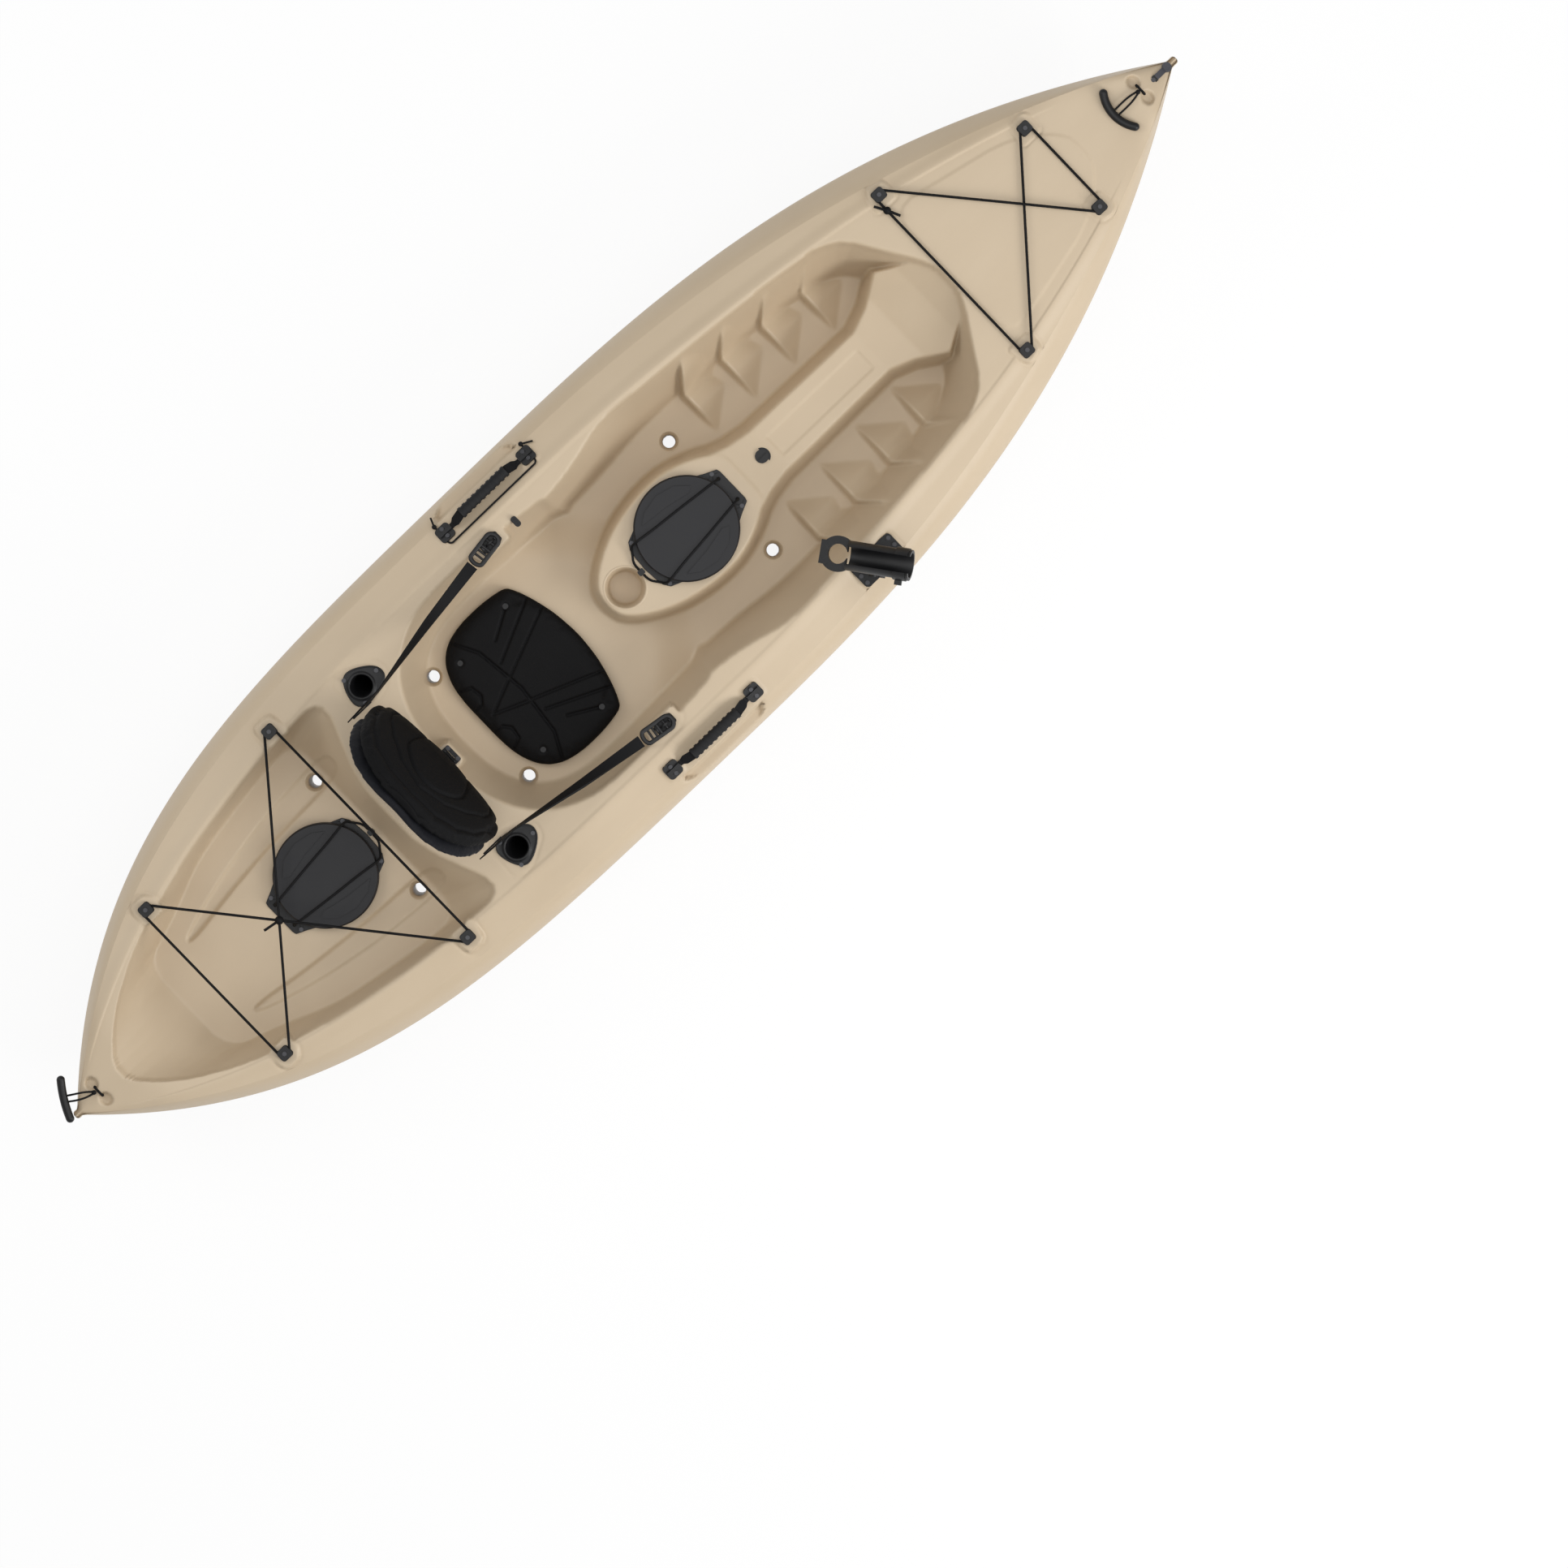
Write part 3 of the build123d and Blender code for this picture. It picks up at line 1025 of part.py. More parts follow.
def hatch_ring():
    """The flange on the deck, the collar that the lid goes over, and the neck in the hull."""
    inner = HATCH_HOLE_RADIUS - GAP - HATCH_NECK_WALL
    ring = post(0, 0, 0, LID_RADIUS + 1, HATCH_FLANGE)
    for outline in (HATCH_TAB, HATCH_NOSE):
        ring += extrude(flat(outline, 0), HATCH_FLANGE)
    ring += post(0, 0, 0, COLLAR_RADIUS, HATCH_FLANGE + HATCH_COLLAR_HEIGHT)
    ring += post(0, 0, -HATCH_NECK_DEPTH, HATCH_HOLE_RADIUS - GAP, HATCH_NECK_DEPTH)
    ring -= post(0, 0, -50, inner, 100)
    for x, y in HATCH_SCREWS:
        for side in (1, -1):
            ring -= post(x, side * y, -1, SCREW_HOLE_RADIUS, 20)
    return ring


def hatch_gasket():
    z = HATCH_FLANGE + HATCH_COLLAR_HEIGHT
    inner = HATCH_HOLE_RADIUS - GAP - HATCH_NECK_WALL
    return post(0, 0, z, COLLAR_RADIUS - 0.5, GASKET_HEIGHT) - post(0, 0, z - 1, inner + 0.5, 10)


def hatch_lid():
    """The lid: a shallow cap with two raised crescents beside the cords."""
    lid = post(0, 0, LID_BOTTOM, LID_RADIUS, LID_TOP - LID_BOTTOM)
    lid = chamfer(lid.edges().group_by(Axis.Z)[-1], 2.4)
    lid -= post(0, 0, LID_BOTTOM - 1, LID_RADIUS - LID_WALL, LID_UNDERSIDE - LID_BOTTOM + 1)
    for side in (1, -1):
        outline = [(-62, side * 66), (0, side * 60), (52, side * 49), (66, side * 56), (40, side * 80),
                   (0, side * 90), (-40, side * 82)]
        lid += extrude(flat(outline, LID_TOP - 0.5), CRESCENT_HEIGHT + 0.5)
    return lid


def lid_cord(name):
    """The two shock cords over a lid, from their knots on the hinge line to the toggle."""
    over = LID_TOP + HATCH_CORD_RADIUS + 0.4
    tubes = []
    for side in (1, -1):
        points = [(HATCH_HINGE, 28, HINGE_RISE), (112.5, 28.2, LID_TOP - 1), (101, 30, over + 2.4),
                  (58, 34.6, over + 0.4), (4, 40.5, over + 0.1), (-48, 45, over + 0.4), (-92, 51, over + 3.6),
                  (-106, 51.5, LID_TOP - 3),
                  (-114, 40, 10), (-126, 24, 7), (TOGGLE_BAR_X, TOGGLE_BAR[1] / 2 + GAP, 6.6)]
        points = [(x, side * y, z) for x, y, z in points]
        tube = cord(name, points, HATCH_CORD_RADIUS)
        tubes.append(tube + Pos(HATCH_HINGE, side * 28, HINGE_RISE) * Sphere(HATCH_KNOT_RADIUS))
    return tubes


def lid_toggle():
    """The pull that the two cords of a lid end in."""
    length, width, height = TOGGLE_BAR
    return Pos(TOGGLE_BAR_X, 0, 6.6 - height / 2) * rounded_plate(length, width, height, 3)


def centre_plug_ring():
    """The threaded insert of the plug on the centreline."""
    ring = post(0, 0, 0, 18, 3) + post(0, 0, -10, CENTRE_PLUG_HOLE_RADIUS - GAP, 10)
    ring -= post(0, 0, -20, PLUG_SHANK_RADIUS + RUNNING_GAP, 40)
    return Pos(CENTRE_PLUG_X, 0, SPINE_HEIGHT) * ring


PLUG_SHANK_RADIUS = 9.5
PLUG_HEAD = (14.0, 5.0)


def centre_plug():
    """The plug, with a coin slot across its head."""
    plug = post(0, 0, 3 + GAP, PLUG_HEAD[0], PLUG_HEAD[1]) + post(0, 0, -9, PLUG_SHANK_RADIUS, 13)
    plug -= block((-11, 11), (-1.6, 1.6), (3 + GAP + PLUG_HEAD[1] - 2.5, 20))
    return Pos(CENTRE_PLUG_X, 0, SPINE_HEIGHT) * plug


# End handles: a toggle on a short cord that hangs in a loop round the bridge
LOOP_REACH = BRIDGE_HALF_WIDTH + GAP + LOOP_RADIUS
KNOT_BALL = 5.0
TOGGLE_RADIUS = 8.5
BOW_TOGGLE = {"ahead": 180.0, "distance": 66.0, "half_length": 46.0, "sag": 15.0}
STERN_TOGGLE = {"ahead": 149.5, "distance": 62.0, "half_length": 40.0, "sag": 3.0}


def cord_loop(name, x):
    """The closed cord that goes through the two finger pockets and round the bridge between them."""
    top = deck_z(x)
    low, high = top - POCKET_DEPTH + 4 + 0.7, top + GAP + LOOP_RADIUS
    y0, y1 = BRIDGE_Y - LOOP_REACH, BRIDGE_Y + LOOP_REACH
    path = FilletPolyline((x, y0, low), (x, y1, low), (x, y1, high), (x, y0, high), radius=3.4, close=True)
    loop = sweep(Plane(path @ 0, z_dir=path % 0) * Circle(LOOP_RADIUS), path=path)
    print(name, "length", round(path.length), "volume share",
          round(loop.volume / (math.pi * LOOP_RADIUS ** 2 * path.length), 4))
    return loop


def toggle_frame(x, ahead):
    """Frame of an end handle: its hinge line is y, and x points along its cord."""
    way = math.radians(ahead)
    out = (LOOP_RADIUS + GAP + KNOT_BALL) / abs(math.cos(way))
    x, y = x + out * math.cos(way), BRIDGE_Y + out * math.sin(way)
    return Pos(x, y, deck_z(x) + KNOT_BALL + 2 * GAP) * Rot(0, 0, ahead)


def end_handle_cord(name, place, size, rises):
    """The knot on the hinge line and the two strands to the toggle."""
    tubes = Sphere(KNOT_BALL)
    far = size["distance"] - TOGGLE_RADIUS - 3 * GAP
    for side in (1, -1):
        points = [(1, side * 2.0, 0.6), (far * 0.35, side * 6.0, rises[0]),
                  (far * 0.7, side * 6.6, rises[1]), (far, side * 6.2, rises[2])]
        tubes += cord(name, points, LOOP_RADIUS - 0.4)
    return place * tubes


def end_handle_toggle(place, size, rise):
    """A curved grip with domed ends."""
    far, half, sag = size["distance"], size["half_length"], size["sag"]
    arc = ThreePointArc((far - sag, -half, rise), (far, 0, rise), (far - sag, half, rise))
    grip = sweep(Plane(arc @ 0, z_dir=arc % 0) * Circle(TOGGLE_RADIUS), path=arc)
    for end in (arc @ 0, arc @ 1):
        grip += Pos(*end) * Sphere(TOGGLE_RADIUS)
    return place * grip


# Drain plug at the bow, on its tether
TETHER_HINGE_X = BOW_TETHER_X + 9.0
BOW_PLUG_HEAD = (10.0, 6.0)


def tether_tab():
    """The end of the tether under its screw."""
    tab = block((BOW_TETHER_X - 7, TETHER_HINGE_X - 1 - GAP), (-7, 7), (0, TETHER_THICKNESS))
    return Pos(0, 0, BOW_TETHER_Z) * (tab - post(BOW_TETHER_X, 0, -1, SCREW_HOLE_RADIUS, 10))


def bow_plug():
    """The push-in plug and the strip of its tether, which bends up at the tab."""
    plug = post(0, 0, GAP, BOW_PLUG_HEAD[0], BOW_PLUG_HEAD[1])
    plug += Pos(0, 0, -1.85) * Cone(BOW_PLUG_RADIUS - 2, BOW_PLUG_RADIUS, 4.3)
    plug = BOW_PLUG_PLACE * plug
    z = BOW_TETHER_Z + 1.0
    root = Pos(TETHER_HINGE_X, 0, z) * Rot(90, 0, 0) * Cylinder(1.0, 12)
    end = BOW_PLUG_PLACE * Pos(-BOW_PLUG_HEAD[0] + 2, 0, 1.4)
    low, high = Vector(TETHER_HINGE_X, 0, z), end.position
    ahead = (high - low).normalized()
    strip = ribbon([(low, ahead, Vector(0, 1, 0), 12, 1.6), (high, ahead, Vector(0, 1, 0), 12, 1.6)])
    return plug + root + strip


# Adjustable rod holder
ROD_PLACE = Pos(ROD_X, ROD_Y, ROD_SEAT_Z)
ROD_TURN = ROD_PLACE * Rot(0, 0, ROD_YAW)
ROD_TILT = ROD_TURN * Pos(0, 0, ROD_PIVOT_HEIGHT) * Rot(0, -ROD_PITCH, 0)
ROD_DISC = (19.0, 9.0)
ROD_EAR_RADIUS = 15.0
ROD_EAR_INNER = ROD_LUG_WIDTH / 2 + GAP
ROD_EAR_OUTER = ROD_EAR_INNER + ROD_EAR_WIDTH
ROD_SLOT = 17.0
ROD_SPIGOT = (45.0, 27.5)
ROD_BOLT_HEAD = (7.0, 5.0)
ROD_BOLT_REACH = 11.0
RING_WALL = 5.5
RING_GAP = 0.1


def rod_base():
    length, width, height = ROD_BASE
    base = rounded_plate(length, width, height, 9) + post(0, 0, 0, ROD_SOCKET_RADIUS, ROD_SOCKET_HEIGHT)
    base -= post(0, 0, ROD_SOCKET_HEIGHT - ROD_SPIGOT_LENGTH - GAP, ROD_SPIGOT_RADIUS + RUNNING_GAP, 100)
    for x, y in ROD_SCREWS:
        base -= post(x, y, -1, SCREW_HOLE_RADIUS, 20)
    return ROD_PLACE * base


def rod_post():
    """The swivelling post: a spigot in the socket, a disc and two ears."""
    z = ROD_SOCKET_HEIGHT
    swivel = post(0, 0, z - ROD_SPIGOT_LENGTH, ROD_SPIGOT_RADIUS, ROD_SPIGOT_LENGTH + 2)
    swivel += post(0, 0, z + GAP, ROD_DISC[0], ROD_DISC[1])
    for side in (1, -1):
        y = sorted((side * ROD_EAR_INNER, side * ROD_EAR_OUTER))
        ear = block((-ROD_EAR_RADIUS, ROD_EAR_RADIUS), y, (z + GAP + 2, ROD_PIVOT_HEIGHT))
        swivel += ear & post(0, 0, 0, ROD_DISC[0] + 3.5, 200)
        boss = Cylinder(ROD_EAR_RADIUS, ROD_EAR_WIDTH)
        swivel += Pos(0, sum(y) / 2, ROD_PIVOT_HEIGHT) * Rot(90, 0, 0) * boss
    swivel -= Pos(0, 0, ROD_PIVOT_HEIGHT) * Rot(90, 0, 0) * Cylinder(ROD_BOLT_RADIUS + RUNNING_GAP, 100)
    return ROD_TURN * swivel


def rod_slot(x0, x1):
    """The open top of the cradle between two places along it."""
    return block((x0, x1), (-ROD_SLOT, ROD_SLOT), (ROD_TUBE_HEIGHT, ROD_TUBE_HEIGHT + 60))


def along_rod(x0, x1, radius):
    return Pos((x0 + x1) / 2, 0, ROD_TUBE_HEIGHT) * Rot(0, 90, 0) * Cylinder(radius, x1 - x0)


def rod_cradle():
    """The open trough for the rod, its lug, the flat loop and the spigot of the locking ring."""
    start, end = ROD_TROUGH
    cradle = along_rod(start, ROD_SPIGOT[0], ROD_TUBE_RADIUS) + along_rod(start, end + 3, ROD_SPIGOT[1])
    cradle += along_rod(end, end + 5, ROD_TUBE_RADIUS + 1)
    cradle += Rot(90, 0, 0) * Cylinder(ROD_EAR_RADIUS, ROD_LUG_WIDTH)
    cradle += block((-ROD_EAR_RADIUS, ROD_EAR_RADIUS), (-ROD_LUG_WIDTH / 2, ROD_LUG_WIDTH / 2),
                    (0, ROD_TUBE_HEIGHT - ROD_TUBE_RADIUS + 4))
    loop_x = start - 20
    loop = post(loop_x, 0, ROD_TUBE_HEIGHT - ROD_LOOP_THICKNESS / 2, ROD_LOOP_RADIUS, ROD_LOOP_THICKNESS)
    loop += block((loop_x - ROD_LOOP_RADIUS, loop_x), (-24, 24),
                  (ROD_TUBE_HEIGHT - ROD_LOOP_THICKNESS / 2, ROD_TUBE_HEIGHT + ROD_LOOP_THICKNESS / 2))
    cradle += loop
    cradle -= along_rod(start - 1, end + 10, ROD_TUBE_RADIUS - ROD_TUBE_WALL) + rod_slot(start - 1, end + 10)
    cradle -= post(loop_x, 0, 0, ROD_LOOP_HOLE_RADIUS, 200)
    cradle -= Rot(90, 0, 0) * Cylinder(ROD_BOLT_RADIUS + 0.3, 100)
    return ROD_TILT * cradle


def rod_bolt():
    """The bolt through the two ears, with its hexagonal head on the port side and its end in the knob."""
    end = ROD_EAR_OUTER + GAP + ROD_BOLT_REACH
    shank = Cylinder(ROD_BOLT_RADIUS, ROD_EAR_OUTER + end)
    shank = Pos(0, (ROD_EAR_OUTER - end) / 2, 0) * Rot(90, 0, 0) * shank
    head = Pos(0, ROD_EAR_OUTER + ROD_BOLT_HEAD[1] / 2, 0) * Rot(90, 0, 0)
    head *= extrude(RegularPolygon(ROD_BOLT_HEAD[0], 6), ROD_BOLT_HEAD[1] / 2, both=True)
    return ROD_TURN * Pos(0, 0, ROD_PIVOT_HEIGHT) * (shank + head)


def rod_knob():
    """The lobed knob that turns on the end of the bolt."""
    outer = ROD_EAR_OUTER + GAP
    knob = Cylinder(ROD_KNOB_RADIUS - 3, ROD_KNOB_WIDTH)
    knob = Pos(0, -outer - ROD_KNOB_WIDTH / 2, 0) * Rot(90, 0, 0) * knob
    for number in range(6):
        angle = math.radians(60 * number)
        x, z = (ROD_KNOB_RADIUS - 5) * math.cos(angle), (ROD_KNOB_RADIUS - 5) * math.sin(angle)
        knob += Pos(x, -outer - ROD_KNOB_WIDTH / 2, z) * Rot(90, 0, 0) * Cylinder(5, ROD_KNOB_WIDTH)
    depth = ROD_BOLT_REACH + GAP
    knob -= Pos(0, -outer - depth / 2, 0) * Rot(90, 0, 0) * Cylinder(ROD_BOLT_RADIUS + RUNNING_GAP, depth)
    return ROD_TURN * Pos(0, 0, ROD_PIVOT_HEIGHT) * knob


def rod_lock_ring():
    """The C-shaped ring that turns on the cradle's spigot and closes its open top."""
    x0 = ROD_SPIGOT[0] + GAP
    x1 = ROD_TROUGH[1] - GAP
    ring = along_rod(x0, x1, ROD_SPIGOT[1] + RING_GAP + RING_WALL)
    ring += block((x0 + 4, x1 - 8), (-ROD_SPIGOT[1] - 15, -ROD_SPIGOT[1]),
                  (ROD_TUBE_HEIGHT - 4, ROD_TUBE_HEIGHT + 4))
    ring -= along_rod(x0 - 1, x1 + 1, ROD_SPIGOT[1] + RING_GAP) + rod_slot(x0 - 1, x1 + 1)
    return ROD_TILT * ring


def fittings():
    """Every node of the kayak but its two shells, by name."""
    deck, flush, rod, hatch = fixings()
    bow_frame = toggle_frame(BOW_BRIDGE_X, BOW_TOGGLE["ahead"])
    stern_frame = toggle_frame(STERN_BRIDGE_X, STERN_TOGGLE["ahead"])
    bow_frame = bow_frame * Rot(0, BOW_TOGGLE_PITCH, 0)
    nodes = {
        "bow_foam": foam_block(*BOW_FOAM_X),
        "stern_foam": foam_block(*STERN_FOAM_X),
        "seat_pad": seat_pad(),
        "seat_rivets": seat_rivets(),
        "backrest_pad": backrest_pad(),
        "backrest_shell": backrest_shell(),
        "backrest_tab": back_tab(),
        "backrest_strap_tabs": back_strap_tabs(),
        "back_clip": back_clip(),
        "port_seat_strap": seat_strap(1),
        "starboard_seat_strap": seat_strap(-1),
        "snap_hooks": [snap_hook(1), snap_hook(-1)],
        "strap_eyes": [strap_eye(1), strap_eye(-1)],
        "leash_eyelet": leash_eyelet(),
        "deck_screws": screws(deck),
        "flush_screws": screws(flush),
        "rod_screws": screws(rod),
        "hatch_screws": screws(hatch),
        "port_flush_rod_holder": flush_rod_holder(1),
        "starboard_flush_rod_holder": flush_rod_holder(-1),
        "handle_plates": handle_plates(),
        "port_handle_strap": handle_strap(1),
        "port_handle_grip": handle_grip(1),
        "starboard_handle_strap": handle_strap(-1),
        "starboard_handle_grip": handle_grip(-1),
        "paddle_keeper": paddle_keeper(),
        "front_lashing_hooks": hooks(FRONT_HOOKS),
        "rear_lashing_hooks": hooks(REAR_HOOKS),
        "front_bungee": front_bungee(),
        "rear_bungee": rear_bungee(),
        "centre_plug_ring": centre_plug_ring(),
        "centre_plug": centre_plug(),
        "bow_cord_loop": cord_loop("bow_cord_loop", BOW_BRIDGE_X),
        "stern_cord_loop": cord_loop("stern_cord_loop", STERN_BRIDGE_X),
        "bow_handle_cord": end_handle_cord("bow_handle_cord", bow_frame, BOW_TOGGLE, (3.5, 5.0, 5.4)),
        "bow_handle_toggle": end_handle_toggle(bow_frame, BOW_TOGGLE, 5.4),
        "stern_handle_cord": end_handle_cord("stern_handle_cord", stern_frame, STERN_TOGGLE,
                                             (10.0, 11.5, -1.0)),
        "stern_handle_toggle": end_handle_toggle(stern_frame, STERN_TOGGLE, -2.0),
        "tether_tab": tether_tab(),
        "bow_plug": bow_plug(),
        "rod_base": rod_base(),
        "rod_post": rod_post(),
        "rod_bolt": rod_bolt(),
        "rod_cradle": rod_cradle(),
        "rod_knob": rod_knob(),
        "rod_lock_ring": rod_lock_ring(),
    }
    for name, place in HATCH_PLACES.items():
        nodes[name + "_hatch_ring"] = place * hatch_ring()
        nodes[name + "_hatch_gasket"] = place * hatch_gasket()
        nodes[name + "_hatch_lid"] = place * hatch_lid()
        nodes[name + "_lid_cord"] = [place * tube for tube in lid_cord(name + "_lid_cord")]
        nodes[name + "_lid_toggle"] = place * lid_toggle()
    return nodes


BOW_TOGGLE_PITCH = math.degrees(math.atan2(deck_z(1415) - deck_z(1350), 65))


def export(name, shape):
    if isinstance(shape, list):
        shape = Compound(children=[Part(piece.wrapped) if not isinstance(piece, Part) else piece
                                   for piece in shape])
    export_step(shape, f"parts/{name}.step")


if __name__ == "__main__":
    for name, shape in {**shells(), **fittings()}.items():
        export(name, shape)
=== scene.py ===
# %% [markdown]
# # A sit-on-top fishing kayak, dressed for the camera
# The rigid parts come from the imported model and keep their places. This lesson adds what a
# solid modeller leaves plain: the flowing moulded hull, padded seat, woven straps and finishes.
# Everything is in metres here, with +X to the bow, +Y to port and +Z up.

import bpy
import json
import math
import numpy as np
from mathutils import Matrix, Vector

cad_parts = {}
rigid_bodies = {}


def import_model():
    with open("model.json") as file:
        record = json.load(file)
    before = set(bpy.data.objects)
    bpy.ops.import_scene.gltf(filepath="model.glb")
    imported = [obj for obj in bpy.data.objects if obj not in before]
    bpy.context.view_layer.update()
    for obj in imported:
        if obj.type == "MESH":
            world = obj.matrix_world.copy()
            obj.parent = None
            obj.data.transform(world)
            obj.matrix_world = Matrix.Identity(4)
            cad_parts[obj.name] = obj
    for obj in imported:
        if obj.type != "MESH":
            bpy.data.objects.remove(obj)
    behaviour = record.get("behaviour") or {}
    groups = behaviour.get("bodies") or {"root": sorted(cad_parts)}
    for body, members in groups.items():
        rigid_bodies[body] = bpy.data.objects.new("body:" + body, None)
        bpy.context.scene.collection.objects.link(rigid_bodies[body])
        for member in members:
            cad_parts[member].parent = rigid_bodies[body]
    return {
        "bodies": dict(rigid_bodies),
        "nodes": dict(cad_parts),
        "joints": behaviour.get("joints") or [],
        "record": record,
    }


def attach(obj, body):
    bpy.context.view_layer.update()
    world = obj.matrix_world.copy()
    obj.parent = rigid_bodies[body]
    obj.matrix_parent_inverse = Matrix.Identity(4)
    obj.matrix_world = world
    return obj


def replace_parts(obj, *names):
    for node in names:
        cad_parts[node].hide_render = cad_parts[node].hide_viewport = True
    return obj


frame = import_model()
nodes, record = frame["nodes"], frame["record"]
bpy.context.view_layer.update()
MM = 0.001

# %% [markdown]
# ## Shader maths as plain expressions
# A finish is a small calculation: noise times a share, plus a colour. Wiring that by hand takes a
# line per node, so a socket is wrapped in a class whose operators add the Math nodes.


# %% The socket wrapper and the finish
class Signal:
    """An output socket. Each operator adds the Math node that works the expression out."""

    def __init__(self, finish, socket):
        self.finish, self.socket = finish, socket

    def math(self, operation, other, turned=False):
        pair = (other, self) if turned else (self, other)
        return self.finish.node("ShaderNodeMath", {"operation": operation}, dict(enumerate(pair)))

    def __add__(self, other):
        return self.math("ADD", other)

    def __sub__(self, other):
        return self.math("SUBTRACT", other)

    def __rsub__(self, other):
        return self.math("SUBTRACT", other, turned=True)

    def __mul__(self, other):
        return self.math("MULTIPLY", other)

    def __pow__(self, other):
        return self.math("POWER", other)

    __radd__, __rmul__ = __add__, __mul__


class Finish:
    """A material with one Principled shader. node() adds any node and returns its output."""

    def __init__(self, name, **constants):
        self.material = bpy.data.materials.new(name)
        self.material.use_nodes = True
        self.tree = self.material.node_tree
        self.shader = self.tree.nodes["Principled BSDF"]
        for socket, value in constants.items():
            self.shader.inputs[socket.replace("_", " ")].default_value = value

    def feed(self, socket, value):
        if isinstance(value, Signal):
            self.tree.links.new(value.socket, socket)
        else:
            socket.default_value = value

    def node(self, kind, settings=None, inputs=None, output=0):
        node = self.tree.nodes.new(kind)
        for name, value in (settings or {}).items():
            if name == "stops":
                for stop, (place, colour) in zip(node.color_ramp.elements, value):
                    stop.position, stop.color = place, colour
            else:
                setattr(node, name, value)
        for name, value in (inputs or {}).items():
            self.feed(node.inputs[name], value)
        return Signal(self, node.outputs[output])

    def where(self, source="Object"):
        return self.node("ShaderNodeTexCoord", output=source)

    def stretched(self, vector, scale, turn=(0, 0, 0)):
        return self.node("ShaderNodeMapping", None, {"Vector": vector, "Scale": scale, "Rotation": turn})

    def noise(self, vector, scale, detail=2.0, roughness=0.5):
        inputs = {"Vector": vector, "Scale": scale, "Detail": detail, "Roughness": roughness}
        return self.node("ShaderNodeTexNoise", None, inputs, "Fac")

    def mix(self, factor, first, second):
        inputs = {0: factor, 6: first, 7: second}
        return self.node("ShaderNodeMix", {"data_type": "RGBA"}, inputs, 2)

    def set(self, **sockets):
        for name, value in sockets.items():
            self.feed(self.shader.inputs[name.replace("_", " ")], value)
        return self

    def bump(self, height, strength, distance):
        inputs = {"Height": height, "Strength": strength, "Distance": distance}
        return self.set(Normal=self.node("ShaderNodeBump", None, inputs))


print("expressions ready")

# %% [markdown]
# ## The hull plastic
# A rotomoulded hull is coloured right through, so it has no paint and no grain. What the eye reads
# is a soft satin sheen, a faint orange peel from the mould and cloudy patches where the powder
# melted unevenly. Two noises, one broad and one fine, give both.


# %% Colours
def shade(red, green, blue):
    """A colour picked on screen, 0 to 255, as the linear values that a shader works in."""
    values = np.array([red, green, blue]) / 255
    linear = np.where(values <= 0.04045, values / 12.92, ((values + 0.055) / 1.055) ** 2.4)
    return (*[float(v) for v in linear], 1.0)


# %% Tan hull plastic
hull_plastic = Finish("tan_hull_plastic", Specular_IOR_Level=0.42)
place = hull_plastic.where()
clouds = hull_plastic.noise(hull_plastic.stretched(place, (2.2, 5.0, 5.0)), 1.6, 4.0, 0.55)
specks = hull_plastic.noise(place, 900.0, 1.0)
hull_plastic.set(
    Base_Color=hull_plastic.mix(clouds * 0.8 + specks * 0.2, shade(190, 171, 144), shade(204, 186, 160)),
    Roughness=clouds * 0.12 + 0.38,
)
peel = hull_plastic.noise(place, 420.0, 3.0, 0.6) + hull_plastic.noise(place, 60.0, 2.0) * 0.8
hull_plastic.bump(peel, 0.16, 0.0006)
print(hull_plastic.material.name, len(hull_plastic.tree.nodes), "nodes")

# %% [markdown]
# ## Black nylon, charcoal lids and rubber
# The fittings are injection moulded: darker and glossier than the hull, with a fine spark-eroded
# texture. One recipe makes them all, with its own colour, gloss and grain size.


# %% Moulded plastics and rubbers
def moulded(name, dark, light, rough, grain, depth, coat=0.0, specular=0.5):
    """A moulded finish: two close colours in cloudy patches, a fine grain in bump and gloss."""
    finish = Finish(name, Coat_Weight=coat, Coat_Roughness=0.3, Specular_IOR_Level=specular)
    place = finish.where()
    patches = finish.noise(place, 26.0, 4.0, 0.6)
    fine = finish.noise(place, grain, 2.0, 0.7)
    finish.set(Base_Color=finish.mix(patches, dark, light), Roughness=patches * 0.14 + fine * 0.06 + rough)
    return finish.bump(fine, 0.3, depth)


black_nylon = moulded("black_nylon", shade(11, 11, 12), shade(24, 24, 26), 0.34, 1400.0, 0.0002, specular=0.4)
grey_nylon = moulded("dark_grey_nylon", shade(60, 60, 65), shade(84, 84, 90), 0.38, 1200.0, 0.0002)
lid_shell = moulded("charcoal_lid", shade(18, 18, 21), shade(27, 27, 31), 0.30, 700.0, 0.00025, specular=0.35)
soft_rubber = moulded("black_rubber", shade(12, 12, 13), shade(22, 22, 24), 0.55, 1000.0, 0.0003, specular=0.35)
seal_rubber = moulded("seal_rubber", shade(14, 14, 15), shade(26, 26, 28), 0.6, 800.0, 0.0002, specular=0.35)
pale_foam = moulded("pale_foam", shade(205, 205, 198), shade(226, 226, 220), 0.8, 300.0, 0.001)
print("moulded finishes ready")

# %% [markdown]
# ## Cords, webbing, foam and cloth
# Shock cord has a braided sleeve, webbing is woven in a herringbone, the seat is pebbled closed-cell
# foam and the backrest wears a coarse nylon cloth. Each is a regular pattern in bump with a hint in
# colour, because black cloth shows its threads mostly by their gloss.


